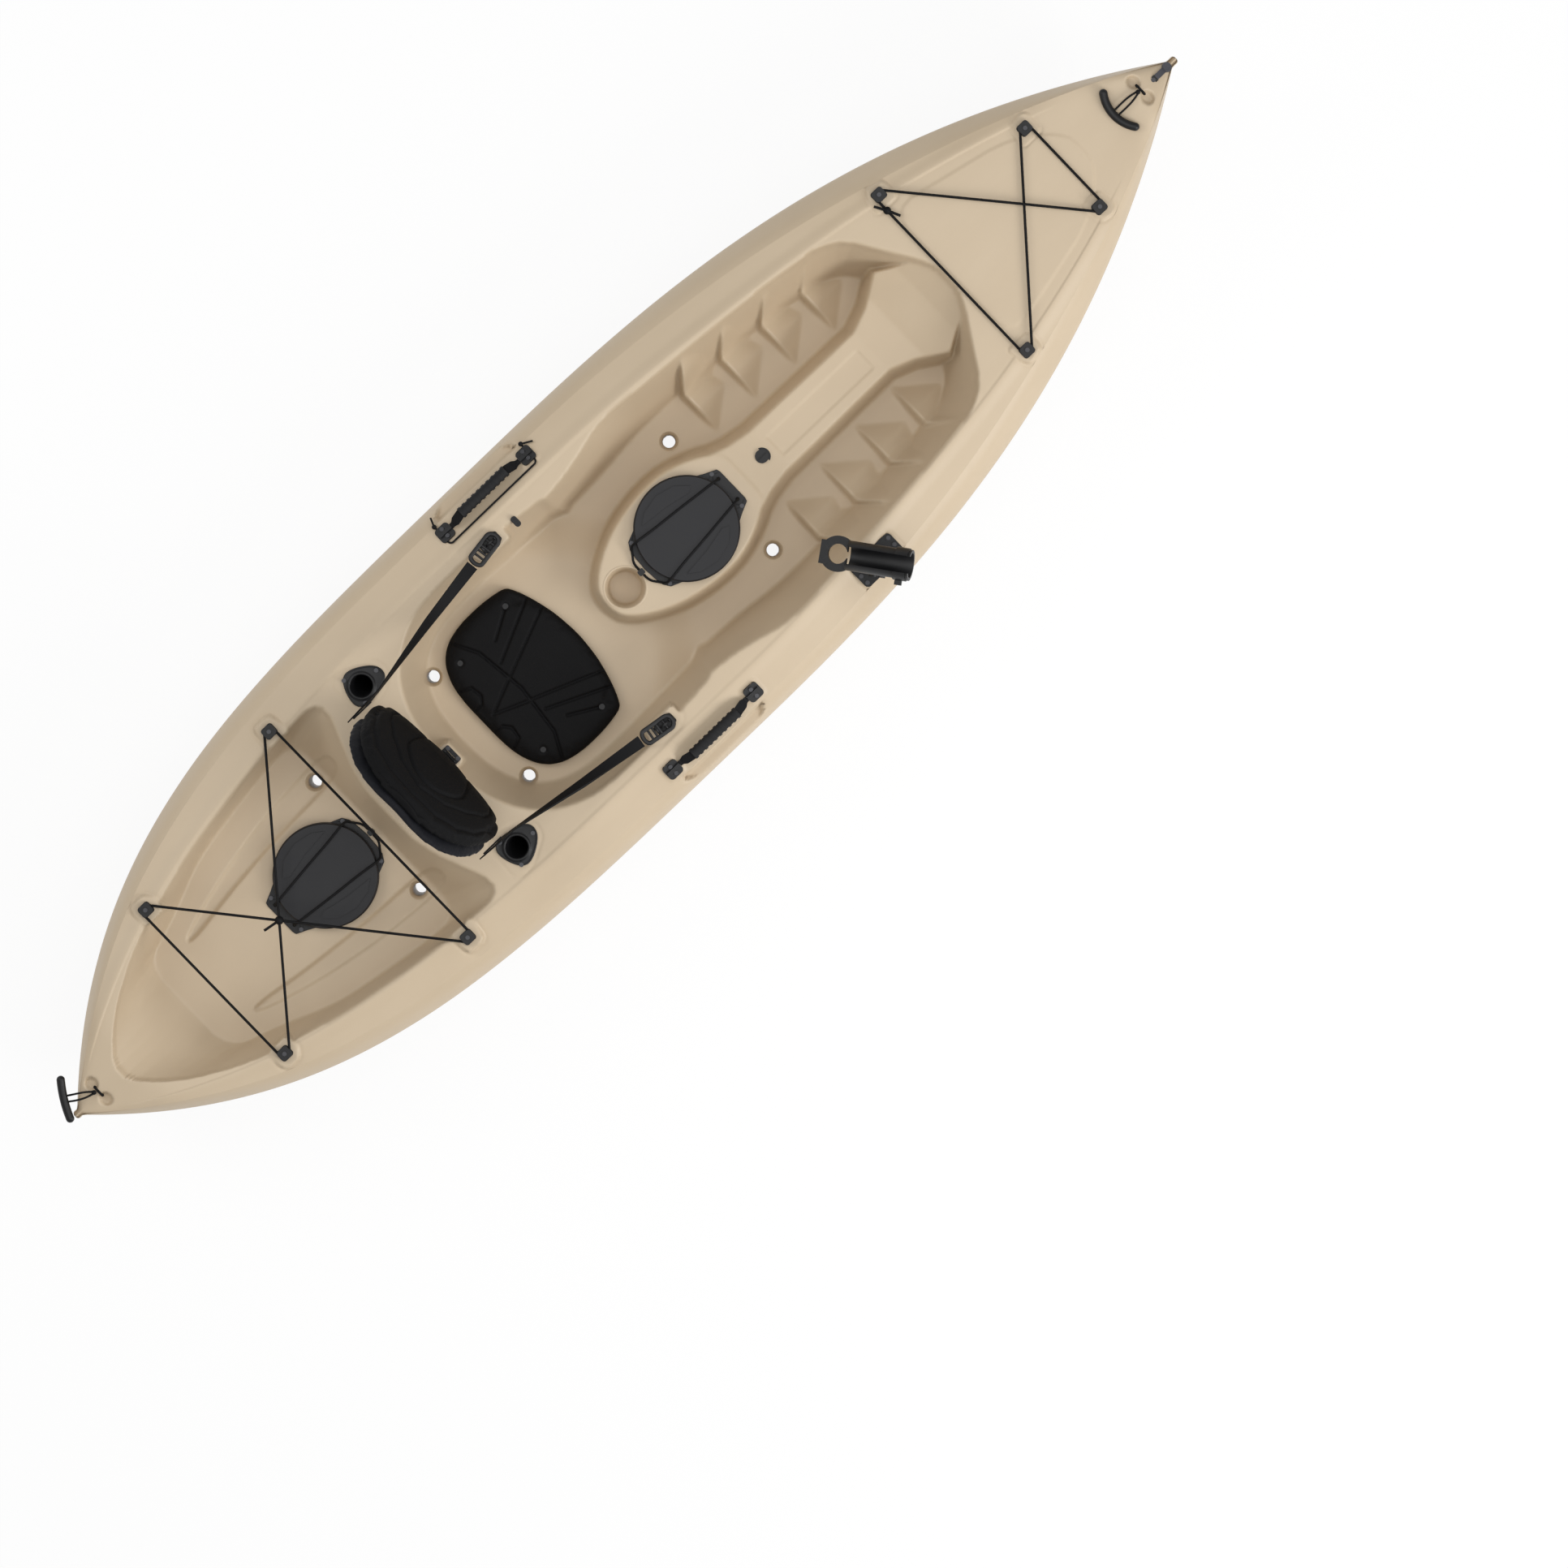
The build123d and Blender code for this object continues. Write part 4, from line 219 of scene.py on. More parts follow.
# %% Braids and weaves
def woven(name, dark, light, pitch, depth, rough, turn=(0, 0, 0), source="Object", sheen=0.0):
    """Two crossed sine waves: where one thread rises the other dips."""
    finish = Finish(name, Sheen_Weight=sheen, Sheen_Roughness=0.4, Specular_IOR_Level=0.18)
    place = finish.stretched(finish.where(source), (1, 1, 1), turn)
    settings = {"wave_type": "BANDS", "wave_profile": "SIN"}
    bands = {"Scale": math.tau / pitch / 20, "Distortion": 0.6, "Detail": 1.0, "Detail Scale": 2.0}
    warp = finish.node("ShaderNodeTexWave", {**settings, "bands_direction": "X"}, {**bands, "Vector": place}, "Fac")
    weft = finish.node("ShaderNodeTexWave", {**settings, "bands_direction": "Y"}, {**bands, "Vector": place}, "Fac")
    threads = warp * weft
    fluff = finish.noise(place, 900.0, 3.0, 0.7)
    finish.set(Base_Color=finish.mix(threads * 0.7 + fluff * 0.3, dark, light), Roughness=fluff * 0.2 + rough)
    return finish.bump(threads + fluff * 0.4, 0.6, depth)


cord_braid = woven("braided_cord", shade(8, 8, 9), shade(26, 26, 28), 0.0022, 0.0004, 0.5, (0, 0, 0.785))
webbing = woven("black_webbing", shade(9, 9, 10), shade(28, 28, 30), 0.0018, 0.0003, 0.55, (0.3, 0.3, 0.5))
cover_cloth = woven("backrest_cloth", shade(3, 3, 4), shade(9, 9, 11), 0.0016, 0.0003, 0.62, (0.2, 0.4, 0.785))
shell_cloth = woven("backrest_shell_cloth", shade(12, 13, 17), shade(26, 27, 34), 0.0016, 0.0003, 0.55, (0.2, 0.4, 0.785), sheen=0.1)
seat_foam = moulded("pebbled_seat_foam", shade(3, 3, 4), shade(8, 8, 10), 0.52, 380.0, 0.0009, specular=0.16)
print("cloth finishes ready")

# %% [markdown]
# ## Stainless screws
# A pan head is turned and then polished, so its roughness runs in fine rings. At this size a
# noise in gloss is enough to break up the highlight.

# %% Steel
steel = Finish("stainless_screw", Metallic=1.0)
place = steel.where()
rings = steel.noise(place, 1500.0, 2.0)
steel.set(Base_Color=steel.mix(rings, shade(52, 52, 54), shade(92, 92, 95)), Roughness=rings * 0.2 + 0.28)
steel.bump(rings, 0.2, 0.0001)
print("steel ready")

# %% [markdown]
# ## Dress the rigid pieces
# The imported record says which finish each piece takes. A welded copy of each edge is rounded by
# modifiers, which leave the mesh itself alone.

# %% Finishes by slot, and rounded edges
FINISHES = {
    "hull_shell": hull_plastic, "flotation_foam": pale_foam, "seat_foam": seat_foam, "cushion_fabric": cover_cloth,
    "webbing": webbing, "cord": cord_braid, "black_plastic": black_nylon, "grey_plastic": grey_nylon,
    "lid_plastic": lid_shell, "grip_rubber": soft_rubber, "gasket_rubber": seal_rubber, "screw_steel": steel,
}
ROUNDED = {
    "rod_base": 0.8, "rod_post": 0.8, "rod_cradle": 0.9, "rod_knob": 0.8, "rod_lock_ring": 0.7, "handle_plates": 1.0,
    "front_lashing_hooks": 0.8, "rear_lashing_hooks": 0.8, "strap_eyes": 0.6, "back_clip": 0.5, "leash_eyelet": 0.5,
    "front_hatch_ring": 0.9, "rear_hatch_ring": 0.9,
    "front_hatch_lid": 1.0, "rear_hatch_lid": 1.0, "front_lid_toggle": 0.9, "rear_lid_toggle": 0.9,
    "centre_plug": 0.6, "centre_plug_ring": 0.5, "bow_plug": 0.5, "tether_tab": 0.3, "deck_screws": 0.4,
    "flush_screws": 0.4, "rod_screws": 0.4, "hatch_screws": 0.4,
}
for part in record["subparts"]:
    piece = nodes[part["node"]]
    piece.data.materials.clear()
    piece.data.materials.append(FINISHES[part["material_slot"]].material)
for name, width in ROUNDED.items():
    weld = nodes[name].modifiers.new("weld", "WELD")
    weld.merge_threshold = 0.00001
    bevel = nodes[name].modifiers.new("bevel", "BEVEL")
    bevel.width, bevel.segments, bevel.limit_method, bevel.angle_limit = width * MM, 2, "ANGLE", math.radians(34)
print(len(record["subparts"]), "pieces dressed,", len(ROUNDED), "rounded")

# %% [markdown]
# ## The lines plan
# A boat is drawn as lines from stern to bow: keel, bilge, chine, beam, sheer and deck edge. Each line
# here is a short table of (share of the half length, height in millimetres), read off the side view.
# The tables are blended with a soft brush, because a moulded hull has no kinks.

# %% Main sizes, in millimetres
HALF_LENGTH, HALF_BEAM, TIP_HALF_BREADTH = 1524.0, 392.0, 9.0
BOW_POWER, STERN_POWER = 2.7, 4.1
RIM, TANK_FLOOR, SEAT_FLOOR, FOOT_FLOOR = 288.0, 175.0, 125.0, 95.0
PEDESTAL, SPINE, PLATFORM = 215.0, 200.0, 230.0
KEEL = [(-1, 272), (-0.982, 205), (-0.959, 140), (-0.932, 80), (-0.893, 22), (-0.847, 0), (-0.64, 0), (-0.39, 22),
        (-0.13, 0), (0.164, 0), (0.262, 18), (0.36, 28), (0.59, 34), (0.72, 41), (0.82, 52), (0.886, 76), (0.932, 122),
        (0.965, 182), (0.984, 236), (1, 296)]
BILGE = [(-1, 274), (-0.959, 190), (-0.893, 108), (-0.847, 88), (-0.64, 60), (-0.39, 23), (-0.13, 1), (0.164, 1),
         (0.36, 34), (0.59, 60), (0.82, 92), (0.886, 118), (0.932, 165), (1, 298)]
CHINE = [(-1, 276), (-0.959, 212), (-0.893, 148), (-0.79, 123), (-0.64, 106), (-0.39, 81), (-0.13, 75), (0.164, 83),
         (0.36, 97), (0.59, 125), (0.82, 166), (0.886, 192), (0.932, 226), (1, 300)]
BEAM = [(-1, 278), (-0.847, 246), (-0.64, 222), (-0.39, 214), (0, 213), (0.36, 224), (0.59, 241), (0.82, 268),
        (0.932, 288), (1, 302)]
SHEER = [(-1, 281), (-0.893, 302), (-0.79, 290), (-0.59, 278), (-0.39, 269), (0.2, 268), (0.36, 276), (0.47, 288),
         (0.72, 303), (0.82, 314), (0.886, 332), (0.932, 349), (0.965, 330), (1, 305)]
DECK = [(-1, 284), (-0.893, 309), (-0.79, 300), (-0.64, 296), (0.164, 296), (0.46, 303), (0.72, 313), (0.82, 319),
        (0.87, 328), (0.932, 355), (0.965, 338), (1, 308)]
BILGE_SHARE = [(-1, 0.55), (-0.64, 0.52), (0, 0.62), (0.59, 0.46), (1, 0.45)]
CHINE_SHARE = [(-1, 0.75), (-0.64, 0.88), (0, 0.93), (0.59, 0.85), (1, 0.7)]
SHEER_SHARE = [(-1, 0.80), (-0.79, 0.90), (-0.35, 0.943), (0.13, 0.943), (0.39, 0.905), (0.66, 0.84), (1, 0.83)]
DECK_SHARE = [(-1, 0.66), (-0.79, 0.70), (-0.35, 0.727), (0.13, 0.727), (0.36, 0.69), (1, 0.69)]
SKEG_RISE = [(-1, 1), (-0.90, 22), (-0.82, 52), (-0.64, 42), (-0.39, 1), (0.36, 2), (0.82, 9), (1, 1)]
print(len(KEEL), "points on the keel line")


# %% Soft lines
def soft_line(table, spread):
    """A line of the plan as a function of x. Its straight runs are averaged with a bell-shaped weight."""
    shares = np.linspace(-1.2, 1.2, 4801)
    places, values = np.array(table, float).T
    values = np.interp(shares, places, values)
    reach = np.arange(-200, 201)
    weight = np.exp(-0.5 * (reach * 0.0005 / spread) ** 2)
    values = np.convolve(np.pad(values, 200, "edge"), weight / weight.sum(), "valid")
    return lambda x: np.interp(np.asarray(x, float) / HALF_LENGTH, shares, values)


keel_z, bilge_z, chine_z = soft_line(KEEL, 0.006), soft_line(BILGE, 0.012), soft_line(CHINE, 0.012)
beam_z, sheer_z, deck_z = soft_line(BEAM, 0.012), soft_line(SHEER, 0.012), soft_line(DECK, 0.012)
bilge_share, chine_share = soft_line(BILGE_SHARE, 0.04), soft_line(CHINE_SHARE, 0.04)
sheer_share, deck_share, skeg_rise = soft_line(SHEER_SHARE, 0.04), soft_line(DECK_SHARE, 0.04), soft_line(SKEG_RISE, 0.02)
print("deck height amidships", round(float(deck_z(0)), 1), "mm")


def beam_at(x):
    """Half breadth: half the beam times 1 minus the share of the half length to a power."""
    share = np.minimum(np.abs(x) / HALF_LENGTH, 1)
    power = np.where(np.asarray(x) > 0, BOW_POWER, STERN_POWER)
    return np.maximum(HALF_BEAM * (1 - share ** power), TIP_HALF_BREADTH)


def sheer_y(x):
    return beam_at(x) * sheer_share(x)


def deck_y(x):
    return beam_at(x) * deck_share(x)


# %% [markdown]
# ## Signed distance to an outline
# Every moulded form of the deck (a well, a pedestal, a raised seat) starts as an outline seen from
# above. The signed distance to it, negative inside, gives walls of any slope and rounding.


# %% Outlines
def rounded_outline(points, passes=2, reach=30.0):
    """Chaikin's rule: each corner gives way to two points on its sides, a quarter of the way along
    them or the reach in millimetres, whichever is less."""
    points = np.array(points, float)
    for _ in range(passes):
        along = np.roll(points, -1, axis=0) - points
        cut = along * np.minimum(0.25, reach / np.maximum(np.hypot(*along.T), 1e-6))[:, None]
        points = np.stack([points + cut, points + along - cut], axis=1).reshape(-1, 2)
        reach /= 2
    return points


def both_sides(half):
    """A whole outline from its half where y is positive."""
    return list(half) + [(x, -y) for x, y in half if y > 0][::-1]


def distance_to(outline, x, y):
    """Signed distance from points to a closed outline: the nearest side, negative inside it."""
    nearest = np.full(x.shape, 1e9)
    inside = np.zeros(x.shape, bool)
    for (x0, y0), (x1, y1) in zip(outline, np.roll(outline, -1, axis=0)):
        dx, dy = x1 - x0, y1 - y0
        along = np.clip(((x - x0) * dx + (y - y0) * dy) / max(dx * dx + dy * dy, 1e-9), 0, 1)
        nearest = np.minimum(nearest, np.hypot(x - x0 - along * dx, y - y0 - along * dy))
        inside ^= ((y0 > y) != (y1 > y)) & (x < dx * (y - y0) / (dy if dy else 1e-9) + x0)
    return np.where(inside, -nearest, nearest)


def wall_share(low, high, x, y, levels=16):
    """How far up the sloping wall between two outlines a point is: 0 inside the inner, 1 past the outer."""
    low, high = rounded_outline(low), rounded_outline(high)
    share = np.ones(x.shape)
    before = distance_to(high, x, y)
    share[before > 0] = 1.0
    for step in range(levels - 1, -1, -1):
        level = step / levels
        here = distance_to(low + (high - low) * level, x, y)
        crossed = (before <= 0) & (here > 0)
        share[crossed] = level + (-before[crossed] / (here[crossed] - before[crossed])) * -1 / levels + 1 / levels
        before = here
    share[before <= 0] = 0.0
    return share


print("outline tools ready")

# %% [markdown]
# ## The deck as a height field
# Seen from above, every point of the deck has one height, so the whole deck is one function of x
# and y. It starts as a level deck with rails that fall away to the sheer. The wells are then sunk
# into it, the pedestal, spine and foot braces stand up in them, and a soft brush rounds it all, as
# a mould does.

# %% Outlines of the wells and of what stands in them, half of each, inner then outer
RIM_INSET = 7.0


def rim_y(x):
    return float(deck_y(x)) - RIM_INSET


TANK = [[(-1225, 0), (-1225, 122), (-1120, 152), (-1000, 205), (-800, 238), (-696, 244), (-696, 90), (-696, 0)],
        [(-1417, 0), (-1330, 92), (-1200, rim_y(-1200)), (-1000, rim_y(-1000)), (-800, rim_y(-800)),
         (-586, rim_y(-600) - 4), (-655, 90), (-655, 0)]]
SEAT = [[(-455, 0), (-445, 100), (-400, 172), (-330, 206), (-230, 212), (-90, 206), (40, 202), (40, 0)],
        [(-493, 0), (-488, 100), (-440, 196), (-345, 254), (-230, 260), (-90, 252), (40, 240), (40, 0)]]
FOOT = [[(0, 0), (0, 196), (130, 200), (230, 212), (345, 210), (600, 190), (742, 166), (786, 128), (800, 0)],
        [(-60, 0), (-60, 233), (50, 240), (120, 254), (200, rim_y(200)), (600, rim_y(600)), (783, rim_y(783)),
         (893, 44), (895, 0)]]
PEDESTAL_FORM = [[(-52, 0), (-38, 50), (55, 104), (175, 123), (257, 108), (332, 66), (332, 0)],
                 [(-76, 0), (-56, 64), (52, 122), (175, 142), (266, 126), (350, 84), (350, 0)]]
TROUGH = [(-1130, 90), (-1000, 110), (-850, 124), (-690, 130), (-662, 144), (-662, 170), (-690, 182), (-850, 170),
          (-1000, 143), (-1130, 106)]
print("tank rim half width at the rear hatch", round(rim_y(-838)), "mm")


# %% Smooth steps and blends
def step(value, width):
    """0 below minus half the width, 1 above plus half, with a smooth ramp between: 3 t squared - 2 t cubed."""
    t = np.clip(value / width + 0.5, 0, 1)
    return t * t * (3 - 2 * t)


def crease(distance, slope, softness):
    """Zero before an edge and a steady slope past it, with the corner rounded by a soft plus."""
    return slope * softness * np.logaddexp(0, distance / softness)


def brushed(field, cells):
    """A height field averaged with a bell-shaped weight, along both ways of its grid."""
    reach = np.arange(-int(3 * cells) - 1, int(3 * cells) + 2)
    weight = np.exp(-0.5 * (reach / cells) ** 2)
    weight /= weight.sum()
    for axis in (0, 1):
        wide = np.pad(field, [(len(reach) // 2,) * 2 if a == axis else (0, 0) for a in (0, 1)], "edge")
        field = sum(w * np.take(wide, range(k, k + field.shape[axis]), axis=axis) for k, w in enumerate(weight))
    return field


def sunk(low, high, floor, x, side_y):
    """Height inside a well: its floor, then its sloping wall up to the rim."""
    return floor + (RIM - floor) * wall_share(both_sides(low), both_sides(high), x, side_y)


def standing(top_outline, foot_outline, top, foot, x, side_y):
    """Height of a form that stands in a well: its top, then its sides down to the foot."""
    share = wall_share(both_sides(top_outline), both_sides(foot_outline), x, side_y)
    return np.where(share >= 1, -1e3, top - (top - foot) * share)


# %% The spine and its ramp
def spine(x, y):
    """A ridge along the middle: a flat top of changing half width, then sides down to its foot. Its
    top climbs from the spine to the deck ahead of the well."""
    half_top = np.interp(x, [290, 350, 400, 690, 740, 802, 893], [84, 64, 56, 53, 72, 113, 60])
    half_foot = half_top + np.interp(x, [300, 690, 893], [24, 24, 16])
    top = np.interp(x, [280, 325, 410, 690, 760, 840, 893], [214, 213, 200, 200, 213, 250, 288])
    share = np.clip((np.abs(y) - half_top) / (half_foot - half_top), 0, 1)
    return np.where((share >= 1) | (x < 280) | (x > 900), -1e3, top - (top - 70) * share)


# %% Foot braces
BRACE_BENDS, BRACE_LEANS = (200, 200, 192, 185), (0.8, 1.0, 1.13, 1.5)
BRACE_TIPS, BRACE_RIMS = (97, 92, 85, 79), (262, 253, 243, 225)


def foot_braces(x, y):
    """Four steps for the feet. Each crest starts low beside the spine, runs outboard, then leans
    forward up the side wall to the rim. Aft of the crest is a steep face, ahead of it a long slope."""
    out = np.abs(y)
    top = np.full(x.shape, -1e3)
    for number, (bend, lean, tip, rim) in enumerate(zip(BRACE_BENDS, BRACE_LEANS, BRACE_TIPS, BRACE_RIMS)):
        crest_x = 357 + 104.5 * number + np.clip(out - bend, 0, None) * lean
        crest_z = np.interp(out, [tip, bend - 12, bend + 2, bend + 26, rim], [95, 144, 166, 240, 284])
        ahead = x - crest_x
        slope = np.interp(out, [bend - 40, bend - 10, bend + 24, rim], [0.42, 0.7, 1.0, 0.22])
        height = crest_z - np.clip(ahead, 0, None) * slope + np.clip(ahead, None, 0) * 16
        top = np.maximum(top, np.where((out < tip) | (ahead > 130), -1e3, height))
    return top


# %% [markdown]
# ## Raised seats and moulded outlines
# Under each fitting the mould leaves a low island with a crisp edge. They are the trapezoids round
# the lashing hooks, the islands of the strap eyes and the pads of the carry handles.

# %% Islands: outline, height of the top
HOOKS = [(912, 214), (1213, 108), (-709, 286), (-1135, 200)]
SEAT_RISE = 2.0
ISLANDS = []
for side in (1, -1):
    shapes = {
        (912, 214): [(-28, -26), (-22, 12), (-10, 27), (22, 27), (28, 0), (26, -26)],
        (1213, 108): [(-26, -24), (-14, 24), (14, 28), (26, 18), (22, -24)],
        (-709, 286): [(-26, -26), (-22, 24), (-14, 27), (14, 27), (24, 22), (32, -26)],
        (-1135, 200): [(-24, -26), (-26, 16), (-18, 26), (14, 27), (30, 6), (26, -26)],
    }
    for (x, y), outline in shapes.items():
        ISLANDS.append(([(x + dx, side * (y + dy)) for dx, dy in outline], float(deck_z(x)) + SEAT_RISE))
    eye = [(-170, 232), (-178, 258), (-160, 272), (-104, 273), (-90, 262), (-90, 230)]
    flush = [(-552, 182), (-556, 262), (-540, 271), (-512, 268), (-462, 240), (-456, 214), (-478, 192), (-520, 180)]
    ISLANDS += [([(x, side * y) for x, y in eye], float(deck_z(-128))), ([(x, side * y) for x, y in flush], float(deck_z(-513)))]
ISLANDS.append(([(-500, -22), (-500, 22), (-496, 27), (-470, 27), (-466, 22), (-466, -22), (-470, -27), (-496, -27)], float(deck_z(-484))))
BOSS_Z = 284.0
ISLANDS.append(([(353, -339), (461.3, -339), (461.3, -283), (353, -283)], BOSS_Z))
print(len(ISLANDS), "islands")


# %% Holes that are left open
SCUPPERS = [(x, side * y, z) for x, y, z in ((272, 153, FOOT_FLOOR), (-405, 140, SEAT_FLOOR), (-723, 152, TANK_FLOOR - 8)) for side in (1, -1)]
CUP = (3.0, 0.0, PEDESTAL)
HOLES = [(x, y, 20.0) for x, y, z in SCUPPERS] + [(CUP[0], CUP[1], 43.0), (175.0, 0.0, 96.0), (-838.0, 0.0, 96.0), (385.0, 0.0, 14.0)]
HOLES += [(-513.0, side * 224.0, 27.0) for side in (1, -1)]
print(len(HOLES), "holes")


# %% Deck height
def deck_height(x, y, cell):
    """Height of the deck at every point of a grid, in millimetres. cell is the grid's spacing."""
    edge, crown = deck_y(x), deck_z(x)
    fall = (crown - sheer_z(x)) / np.maximum(sheer_y(x) - edge, 1)
    base = crown - crease(np.abs(y) - edge, fall, 5.0)
    well = np.full(x.shape, 1e3)
    sole = SEAT_FLOOR - (SEAT_FLOOR - FOOT_FLOOR) * step(x - 10 + 0.8 * (np.abs(y) - 130), 150)
    for (low, high), floor in ((TANK, np.full(x.shape, TANK_FLOOR)), (SEAT, sole), (FOOT, sole)):
        near = (x > min(p[0] for p in high) - 5) & (x < max(p[0] for p in high) + 5)
        if near.any():
            here = sunk(low, high, floor[near], x[near], y[near])
            well[near] = np.minimum(well[near], np.where(here >= RIM - 0.01, 1e3, here))
    near = (x > -85) & (x < 360)
    if near.any():
        well[near] = np.maximum(well[near], standing(*PEDESTAL_FORM, PEDESTAL, 70.0, x[near], y[near]))
    well = np.maximum(well, np.maximum(foot_braces(x, y), spine(x, y)))
    depth = np.clip(base - well, 0, None)
    height = base - brushed(depth, 2.9 / cell)
    return finer_forms(height, x, y)


def finer_forms(height, x, y):
    """What keeps a crisper edge than the wells: the lip along the rail, the troughs, the panel on the
    foredeck, the islands, the recess on the spine, the handle pads and the finger pockets."""
    out = np.abs(y) - deck_y(x)
    lip = step(out + 1, 5) * (1 - step(out - 16, 26)) * np.interp(x, [-1440, -1380, 1180, 1300], [0, 1, 1, 0])
    height += 2.6 * lip
    for side in (1, -1):
        near = (x > -1150) & (x < -640)
        if near.any():
            trough = rounded_outline([(px, side * py) for px, py in TROUGH])
            height[near] -= 8 * step(-distance_to(trough, x[near], y[near]), 10)
    near = (x > 880) & (x < 1290)
    if near.any():
        panel = rounded_outline(both_sides([(908, 0), (908, 176), (1176, 116), (1262, 50), (1270, 0)]))
        height[near] += 2.2 * step(-distance_to(panel, x[near], y[near]), 10)
    for outline, level in ISLANDS:
        outline = np.array(outline, float)
        near = (np.abs(x - outline[:, 0].mean()) < 90) & (np.abs(y - outline[:, 1].mean()) < 70)
        if near.any():
            away = distance_to(rounded_outline(outline, 1, 5.0), x[near], y[near])
            inboard = 1 if level == BOSS_Z else step(rail_y(x[near]) - np.abs(y[near]) - 5, 6)
            share = step(-away, 3.4) * inboard
            height[near] += share * (level - height[near]) - 1.3 * np.exp(-((away - 4.2) / 2.4) ** 2)
    recess = np.maximum(np.abs(x - 545) - 127, np.abs(y + 3) - 25)
    height -= 2.6 * step(-recess, 5)
    for px in (-180, 44):
        for side in (1, -1):
            pad = np.hypot(np.maximum(np.abs(x - px) - 12, 0), np.maximum(np.abs(y - side * 327) - 12, 0)) - 9
            height += 2.0 * step(-pad, 3)
    for px in (1430, -1458):
        for side in (1, -1):
            pocket = np.hypot((x - px) / 11, (y - 4 - side * 21) / (13.5)) - 1
            height -= 11.0 * step(-pocket * 11, 6)
    return height


print("height field ready")

# %% [markdown]
# ## From a grid of points to a mesh
# Every new piece is a grid of points, rows by columns, built with array arithmetic. One function
# turns the grid into quads. A keep mask leaves cells out where there is a hole.


# %% Grid to mesh
def grid_piece(name, points, finish, body="hull", keep=None, around=False, ends=False, flip=False):
    """A mesh from points of shape (rows, columns, 3) in millimetres: one quad per cell of the grid.
    around joins the last column to the first, ends closes the first and last rows with a fan."""
    rows, columns = points.shape[:2]
    index = np.arange(rows * columns).reshape(rows, columns)
    if around:
        index = np.concatenate([index, index[:, :1]], axis=1)
    quads = np.stack([index[:-1, :-1], index[1:, :-1], index[1:, 1:], index[:-1, 1:]], axis=-1)
    quads = quads[keep] if keep is not None else quads.reshape(-1, 4)
    vertices = points.reshape(-1, 3) * MM
    faces = quads[:, ::-1] if flip else quads
    triangles = np.zeros((0, 3), int)
    if ends:
        middle = [vertices[index[0, :columns]].mean(axis=0), vertices[index[-1, :columns]].mean(axis=0)]
        vertices = np.vstack([vertices, middle])
        first, last, count = index[0], index[-1], len(vertices)
        fan = np.stack([first[:-1], first[1:], np.full(len(first) - 1, count - 2)], axis=1)
        end_fan = np.stack([last[1:], last[:-1], np.full(len(last) - 1, count - 1)], axis=1)
        triangles = np.vstack([fan, end_fan])
        triangles = triangles[:, ::-1] if flip else triangles
    mesh = bpy.data.meshes.new(name)
    used = np.zeros(len(vertices), bool)
    used[faces.ravel()] = True
    used[triangles.ravel()] = True
    renumber = np.cumsum(used) - 1
    mesh.from_pydata(vertices[used].tolist(), [], renumber[faces].tolist() + renumber[triangles].tolist())
    mesh.shade_smooth()
    mesh.materials.append(finish.material)
    piece = bpy.data.objects.new(name, mesh)
    bpy.context.scene.collection.objects.link(piece)
    weld = piece.modifiers.new("weld", "WELD")
    weld.merge_threshold = 0.00001
    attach(piece, body)
    return piece


def ring_snap(points, heights, holes, spacing):
    """Cells inside a hole are left out and the points at its edge move onto its circle."""
    x, y = points[..., 0], points[..., 1]
    keep = np.ones((x.shape[0] - 1, x.shape[1] - 1), bool)
    along = np.gradient(heights, axis=0) / np.gradient(x, axis=0)
    across_y = np.gradient(y, axis=1)
    across = np.gradient(heights, axis=1) / np.where(np.abs(across_y) < 1e-6, 1e-6, across_y)
    for hx, hy, radius in holes:
        reach = np.hypot(x - hx, y - hy)
        if reach.min() > radius:
            continue
        inner = reach < radius - 0.45 * spacing
        gone = inner[:-1, :-1] | inner[1:, :-1] | inner[1:, 1:] | inner[:-1, 1:]
        touched, kept = np.zeros(x.shape, bool), np.zeros(x.shape, bool)
        for rows in (slice(None, -1), slice(1, None)):
            for columns in (slice(None, -1), slice(1, None)):
                touched[rows, columns] |= gone
                kept[rows, columns] |= ~gone
        edge = touched & kept
        push = radius / np.maximum(reach[edge], 1e-6) - 1
        dx, dy = (x[edge] - hx) * push, (y[edge] - hy) * push
        points[..., 2][edge] += along[edge] * dx + across[edge] * dy
        points[..., 0][edge] += dx
        points[..., 1][edge] += dy
        keep &= ~gone
    return keep


# %% [markdown]
# ## Lay the deck down in three lengths
# The deck has three pieces, cut where it is flat. Each keeps its own grid about 3.4 millimetres
# apart, fine enough for the crisp islands under the hooks.

# %% The deck
CELL = 3.4
DECK_ENDS = [-HALF_LENGTH, -578.0, 975.0, HALF_LENGTH]
RAIL_SHARE = 0.8


def rail_y(x):
    """Where the deck piece ends and the bottom piece begins: a share of the way down the rail."""
    return deck_y(x) + RAIL_SHARE * (sheer_y(x) - deck_y(x))


def deck_grid(start, stop):
    """Points of the deck from one x to another, a little wider so the brush has something to lean on."""
    rows, margin = int(round((stop - start) / CELL)), 8
    xs = start + (stop - start) * np.arange(-margin, rows + margin + 1) / rows
    columns = int(2 * rail_y(0.0) / CELL)
    x = np.repeat(np.clip(xs, -HALF_LENGTH, HALF_LENGTH)[:, None], columns + 1, axis=1)
    y = np.linspace(-1, 1, columns + 1)[None, :] * rail_y(x)
    z = deck_height(x, y, CELL)
    return np.stack([x, y, z], axis=-1)[margin:-margin]


